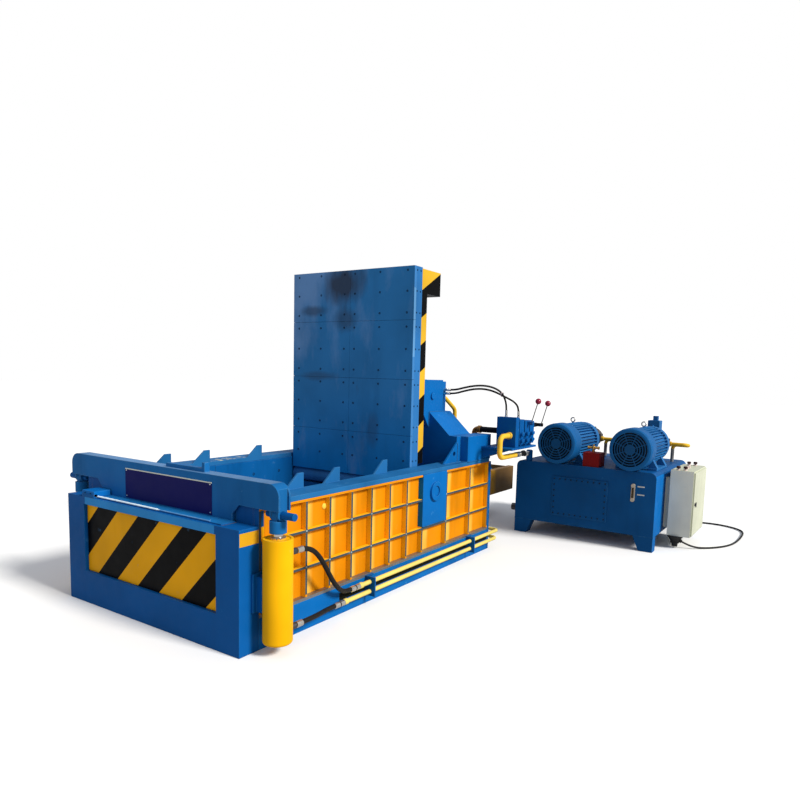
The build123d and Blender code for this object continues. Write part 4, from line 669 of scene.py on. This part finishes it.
def addBead(shape, start, end, radius, ripple=0.007):
    # weld bead: a thin rod, cut across and swelled at each ripple
    start, end = Vector(start), Vector(end)
    length = (end - start).length
    along = (end - start) / length
    count = max(2, int(length / ripple * 2))
    matrix = Matrix.Translation((start + end) / 2) @ along.to_track_quat("Z", "Y").to_matrix().to_4x4()
    earlier = len(shape.verts)
    made = bmesh.ops.create_cone(shape, cap_ends=True, segments=8, radius1=radius, radius2=radius,
                                 depth=length, matrix=matrix)
    sides = {e for v in made["verts"] for e in v.link_edges if abs(e.calc_length() - length) < 1e-4}
    bmesh.ops.subdivide_edges(shape, edges=list(sides), cuts=count - 1)
    shape.verts.ensure_lookup_table()
    for point in shape.verts[earlier:]:
        distance = (point.co - start).dot(along)
        i = round(distance / length * count)
        swell = 1.0 + (0.16 if i % 2 else -0.10) + 0.08 * sin(i * 1.7) + 0.06 * sin(i * 0.37)
        middle = start + along * distance
        point.co = middle + (point.co - middle) * swell


# socket screws of the lid's wear plates and of its side
lidScrews = {"face": 1.929, "columns": (0.600, 0.335, 0.064, -0.050, -0.320, -0.600), "radius": 0.0095,
             "rows": (2.503, 2.335, 2.161, 2.046, 1.863, 1.684, 1.569, 1.393, 1.215, 1.092, 0.930),
             "side": 0.668, "sideX": (1.969, 2.020), "sideRadius": 0.008}
shape = bmesh.new()
for z in lidScrews["rows"]:
    for y in lidScrews["columns"]:
        addScrew(shape, (lidScrews["face"] + 0.0005, y, z), "-X", lidScrews["radius"], 0.0035)
newPiece("lidScrews", shape, "lid", screwPaint)
shape = bmesh.new()
for z in lidScrews["rows"]:
    for x in lidScrews["sideX"]:
        addScrew(shape, (x, -lidScrews["side"] + 0.0005, z), "-Y", lidScrews["sideRadius"], 0.003)
        addScrew(shape, (x, lidScrews["side"] - 0.0005, z), "+Y", lidScrews["sideRadius"], 0.003)
newPiece("lidSideScrews", shape, "lid", screwPaint)

# dark strip that closes the joint between two rows of wear plates, as painted shade in the joint
seam = {"x": (1.9325, 1.9475), "y": 0.655, "z": (1.592, 1.645)}
shape = bmesh.new()
addBlock(shape, (seam["x"][0], -seam["y"], seam["z"][0]), (seam["x"][1], seam["y"], seam["z"][1]), 0.0004)
newPiece("seamShadeStrip", shape, "lid", screwPaint)

# countersunk screws of the wall liners, kept clear of the lid's hinge pin
linerScrews = {"face": 0.680, "rows": (0.735, 0.53, 0.33), "start": 0.235, "pitch": 0.305, "count": 9,
               "radius": 0.014}
shape = bmesh.new()
for i in range(linerScrews["count"]):
    x = linerScrews["start"] + i * linerScrews["pitch"]
    for z in linerScrews["rows"]:
        if abs(x - press["hinge"][0]) > 0.1 or abs(z - press["hinge"][1]) > 0.1:
            addScrew(shape, (x, linerScrews["face"] + 0.0005, z), "-Y", linerScrews["radius"], 0.002)
            addScrew(shape, (x, -linerScrews["face"] - 0.0005, z), "+Y", linerScrews["radius"], 0.002)
newPiece("linerScrews", shape, "machine", screwPaint)

# bare plate on the lift beam, with its rivets
plate = {"x": 0.0555, "y": (-0.492, 0.392), "z": (0.764, 0.966), "thickness": 0.003, "rivet": 0.005,
         "rivetInset": 0.014}
shape = bmesh.new()
addBlock(shape, (plate["x"] - plate["thickness"], plate["y"][0], plate["z"][0]),
         (plate["x"] + 0.0005, plate["y"][1], plate["z"][1]), 0.0008)
newPiece("beamPlate", shape, "gate", signPaint)
shape = bmesh.new()
inset = plate["rivetInset"]
rivetX = plate["x"] - plate["thickness"] + 0.0003
for y in (plate["y"][0] + inset, plate["y"][1] - inset):
    for z in (plate["z"][0] + inset, plate["z"][1] - inset):
        addScrew(shape, (rivetX, y, z), "-X", plate["rivet"], 0.002, 12, False)
newPiece("plateRivets", shape, "gate", zincSteel)

# weld beads, as start, end and radius; the gate's first two beads lie along the gate panel's top front edge,
# in pale paint that is partly wear and partly a painted glint
gateBeads = [((-0.0455, -0.60, 0.7605), (-0.0455, -0.10, 0.7605), 0.0035),
             ((-0.0455, -0.10, 0.7610), (-0.0455, 0.62, 0.7610), 0.0058),
             ((0.0685, -1.030, 0.8575), (0.0685, -0.75, 0.8575), 0.004),
             ((0.0685, 0.75, 0.8575), (0.0685, 1.030, 0.8575), 0.004)]
machineBeads = []
for side in (-1, 1):
    machineBeads += [
        ((2.543, side * 0.8805, 0.888), (2.971, side * 0.8805, 0.888), 0.005),
        ((2.541, side * 0.879, 0.888), (2.541, side * 0.803, 0.888), 0.005),
        ((2.260, side * 0.8115, 0.888), (2.540, side * 0.8115, 0.888), 0.005),
        ((2.473, side * 0.8115, 0.895), (2.473, side * 0.8115, 1.060), 0.005),
        ((2.480, side * 0.4975, 1.322), (2.705, side * 0.4975, 1.322), 0.005),
        ((2.473, side * 0.4975, 1.185), (2.473, side * 0.4975, 1.318), 0.005),
        ((1.816, side * 0.886, 0.427), (2.178, side * 0.886, 0.427), 0.004)]
    for x in press["fins"]:
        machineBeads.append(((x + 0.01, side * 0.7075, 0.888), (x + 0.165, side * 0.7075, 0.888), 0.004))
for x in press["tankEnds"]:
    for y in press["tankSides"]:
        machineBeads.append(((x, y, 0.146), (x + 0.11, y, 0.146), 0.004))
for name, body, beads in (("gateWeldsAndGlint", "gate", gateBeads), ("machineWelds", "machine", machineBeads)):
    shape = bmesh.new()
    for start, end, radius in beads:
        addBead(shape, start, end, radius)
    newPiece(name, shape, body, weldPaint if body == "machine" else glintPaint)

# tack welds where the wall ribs cross
tack = {"y": 0.878, "radius": 0.009, "squash": (1.0, 0.45, 0.8, 1.0), "evenRibs": 7}
shape = bmesh.new()
ribPlaces = [press["ribStart"] + i * press["ribPitch"] for i in range(tack["evenRibs"])]
ribPlaces += press["lastRibs"]
for side in (-1, 1):
    for x in ribPlaces:
        for z in press["ribRows"]:
            matrix = Matrix.Translation((x, side * tack["y"], z)) @ Matrix.Diagonal(tack["squash"])
            bmesh.ops.create_icosphere(shape, subdivisions=2, radius=tack["radius"], matrix=matrix)
newPiece("ribTacks", shape, "machine", tackPaint)

# filler plug on a wall panel, as a (distance, radius) profile
plug = {"place": (0.677, -0.8388, 0.770),
        "profile": [(0, 0.021), (0.004, 0.020), (0.008, 0.015), (0.0105, 0.007)]}
shape = bmesh.new()
addTurned(shape, plug["place"], "-Y", plug["profile"])
newPiece("panelPlug", shape, "machine", plugPaint)

# tie round the two arch hoses: an oval ring drawn outward, along, inward and back
tie = {"place": (2.925, -1.008, 1.497), "width": 0.008, "thickness": 0.0015, "reach": (0.036, 0.017),
       "turn": (-58, 35), "sides": 28}
shape = bmesh.new()
outward = Matrix.Diagonal([(reach + tie["thickness"]) / reach for reach in tie["reach"]] + [1.0, 1.0])
along = Matrix.Translation((0, 0, tie["width"]))
inner = Matrix.Translation((0, 0, -tie["width"] / 2)) @ Matrix.Diagonal((*tie["reach"], 1.0, 1.0))
bmesh.ops.create_circle(shape, segments=tie["sides"], radius=1.0, matrix=inner)
edges = shape.edges[:]
for move in (outward, along, outward.inverted(), along.inverted()):
    made = bmesh.ops.extrude_edge_only(shape, edges=edges)["geom"]
    edges = [e for e in made if isinstance(e, bmesh.types.BMEdge) and e.is_boundary]
    bmesh.ops.transform(shape, matrix=move, verts=[v for v in made if isinstance(v, bmesh.types.BMVert)])
turned = Matrix.Rotation(radians(tie["turn"][0]), 4, "X") @ Matrix.Rotation(radians(tie["turn"][1]), 4, "Z")
bmesh.ops.transform(shape, matrix=Matrix.Translation(tie["place"]) @ turned, verts=shape.verts)
newPiece("hoseTie", shape, "machine", palePlastic)

# brass tap on the service box, as (distance, radius) profiles
tap = {"place": (4.02, -1.545, 0.920), "cross": 0.042, "back": 0.060,
       "stem": [(0, .016), (.012, .016), (.014, .010), (.026, .010), (.028, .020), (.056, .020), (.058, .008),
                (.074, .007), (.078, .003)],
       "arm": [(0, .017), (.014, .017), (.016, .012), (.108, .012), (.110, .015), (.120, .015)]}
shape = bmesh.new()
addTurned(shape, tap["place"], "+Z", tap["stem"])
x, y, z = tap["place"]
addTurned(shape, (x, y - tap["back"], z + tap["cross"]), "+Y", tap["arm"])
newPiece("brassTap", shape, "machine", brass)

# crimped ferrules: place, direction, hose radius and length
ferrules = [((0.252, -1.005, 0.590), "+X", 0.016, 0.052), ((0.252, -1.005, 0.130), "+X", 0.016, 0.052),
            ((0.909, -0.925, 0.168), "-X", 0.016, 0.046), ((0.744, -0.925, 0.098), "-X", 0.016, 0.046),
            ((3.118, -1.100, 0.928), "+X", 0.022, 0.050), ((3.815, -0.886, 0.858), "-X", 0.022, 0.044),
            ((2.733, -0.525, 1.524), "-Y", 0.009, 0.040), ((2.733, -0.525, 1.490), "-Y", 0.009, 0.040),
            ((2.955, -1.044, 1.319), "+Z", 0.009, 0.036), ((3.040, -1.130, 1.309), "+Z", 0.009, 0.036)]
crimp = {"lip": 0.0005, "wall": 0.004, "groove": 0.0024, "grooves": 3, "start": 0.22, "pitch": 0.24}
shape = bmesh.new()
for place, axis, radius, length in ferrules:
    lip, outside, sunk = (radius + crimp[key] for key in ("lip", "wall", "groove"))
    profile = [(0, lip), (0.002, outside)]
    for i in range(crimp["grooves"]):
        groove = length * (crimp["start"] + crimp["pitch"] * i)
        profile += [(groove, outside), (groove + 0.0015, sunk), (groove + 0.004, sunk),
                    (groove + 0.0055, outside)]
    profile += [(length - 0.002, outside), (length, lip)]
    addTurned(shape, place, axis, profile)
newPiece("hoseFerrules", shape, "machine", zincSteel)

# guide block on the gate's top edge, with two screws
guide = {"x": (-0.072, 0.046), "y": (0.560, 0.705), "z": (0.7575, 0.796), "screws": (0.600, 0.665),
         "screwHeight": 0.777, "screwRadius": 0.008}
shape = bmesh.new()
screws = bmesh.new()
corners = list(zip(guide["x"], guide["y"], guide["z"]))
addBlock(shape, *corners, 0.003)
for y in guide["screws"]:
    addScrew(screws, (guide["x"][0] + 0.0003, y, guide["screwHeight"]), "-X", guide["screwRadius"], 0.003)
newPiece("guideBlock", shape, "gate", brightPaint)
newPiece("guideScrews", screws, "gate", screwPaint)

# sight glass and the two level marks on the tank
glass = {"low": (3.8285, -2.026, 0.520), "high": (3.8325, -2.008, 0.621)}
marks = {"x": (3.8598, 3.8613), "y": (-2.125, -2.055), "rows": (0.628, 0.548), "height": 0.012}
shape = bmesh.new()
addBlock(shape, glass["low"], glass["high"], 0.0006)
newPiece("sightGlass", shape, "machine", oilGlass)
shape = bmesh.new()
for z in marks["rows"]:
    top = z + marks["height"]
    addBlock(shape, (marks["x"][0], marks["y"][0], z), (marks["x"][1], marks["y"][1], top), 0.0004)
newPiece("levelMarks", shape, "machine", markPaint)
print("small pieces added")

# floor, backdrop and light
light = {"sun": 3.95, "sunTurn": (54, 0, 3), "sunColour": (1.0, 0.97, 0.91), "sunSpread": 14, "sky": 0.475,
         "skyColour": (0.94, 0.98, 1.06), "floorSeen": 0.95, "floorBounce": 0.50}
floorMesh = bpy.data.meshes.new("floor")
shape = bmesh.new()
bmesh.ops.create_grid(shape, x_segments=1, y_segments=1, size=60)
shape.to_mesh(floorMesh)
shape.free()
floor = bpy.data.objects.new("floor", floorMesh)
floor.location.z = -0.001
scene.collection.objects.link(floor)
floorMaterial, tree, shader, coords = newMaterial("pale floor", 0.9)
shader.inputs["Specular IOR Level"].default_value = 0.0
floorMesh.materials.append(floorMaterial)
path = tree.nodes.new("ShaderNodeLightPath")
level = remap(tree, path.outputs["Is Camera Ray"], 0.0, 1.0, light["floorBounce"], light["floorSeen"])
tree.links.new(level, shader.inputs["Base Color"])

world = bpy.data.worlds.new("studio")
scene.world = world
world.use_nodes = True
tree = world.node_tree
back = tree.nodes["Background"]
path = tree.nodes.new("ShaderNodeLightPath")
seen = path.outputs["Is Camera Ray"]
tree.links.new(blendColour(tree, seen, light["skyColour"], (1.0, 1.0, 1.0)), back.inputs["Color"])
tree.links.new(remap(tree, seen, 0.0, 1.0, light["sky"], 1.0), back.inputs["Strength"])
lamp = bpy.data.lights.new("sun", "SUN")
lamp.energy = light["sun"]
lamp.color = light["sunColour"]
lamp.angle = radians(light["sunSpread"])
lampObject = bpy.data.objects.new("sun", lamp)
lampObject.rotation_euler = [radians(a) for a in light["sunTurn"]]
scene.collection.objects.link(lampObject)
print("floor and light placed")
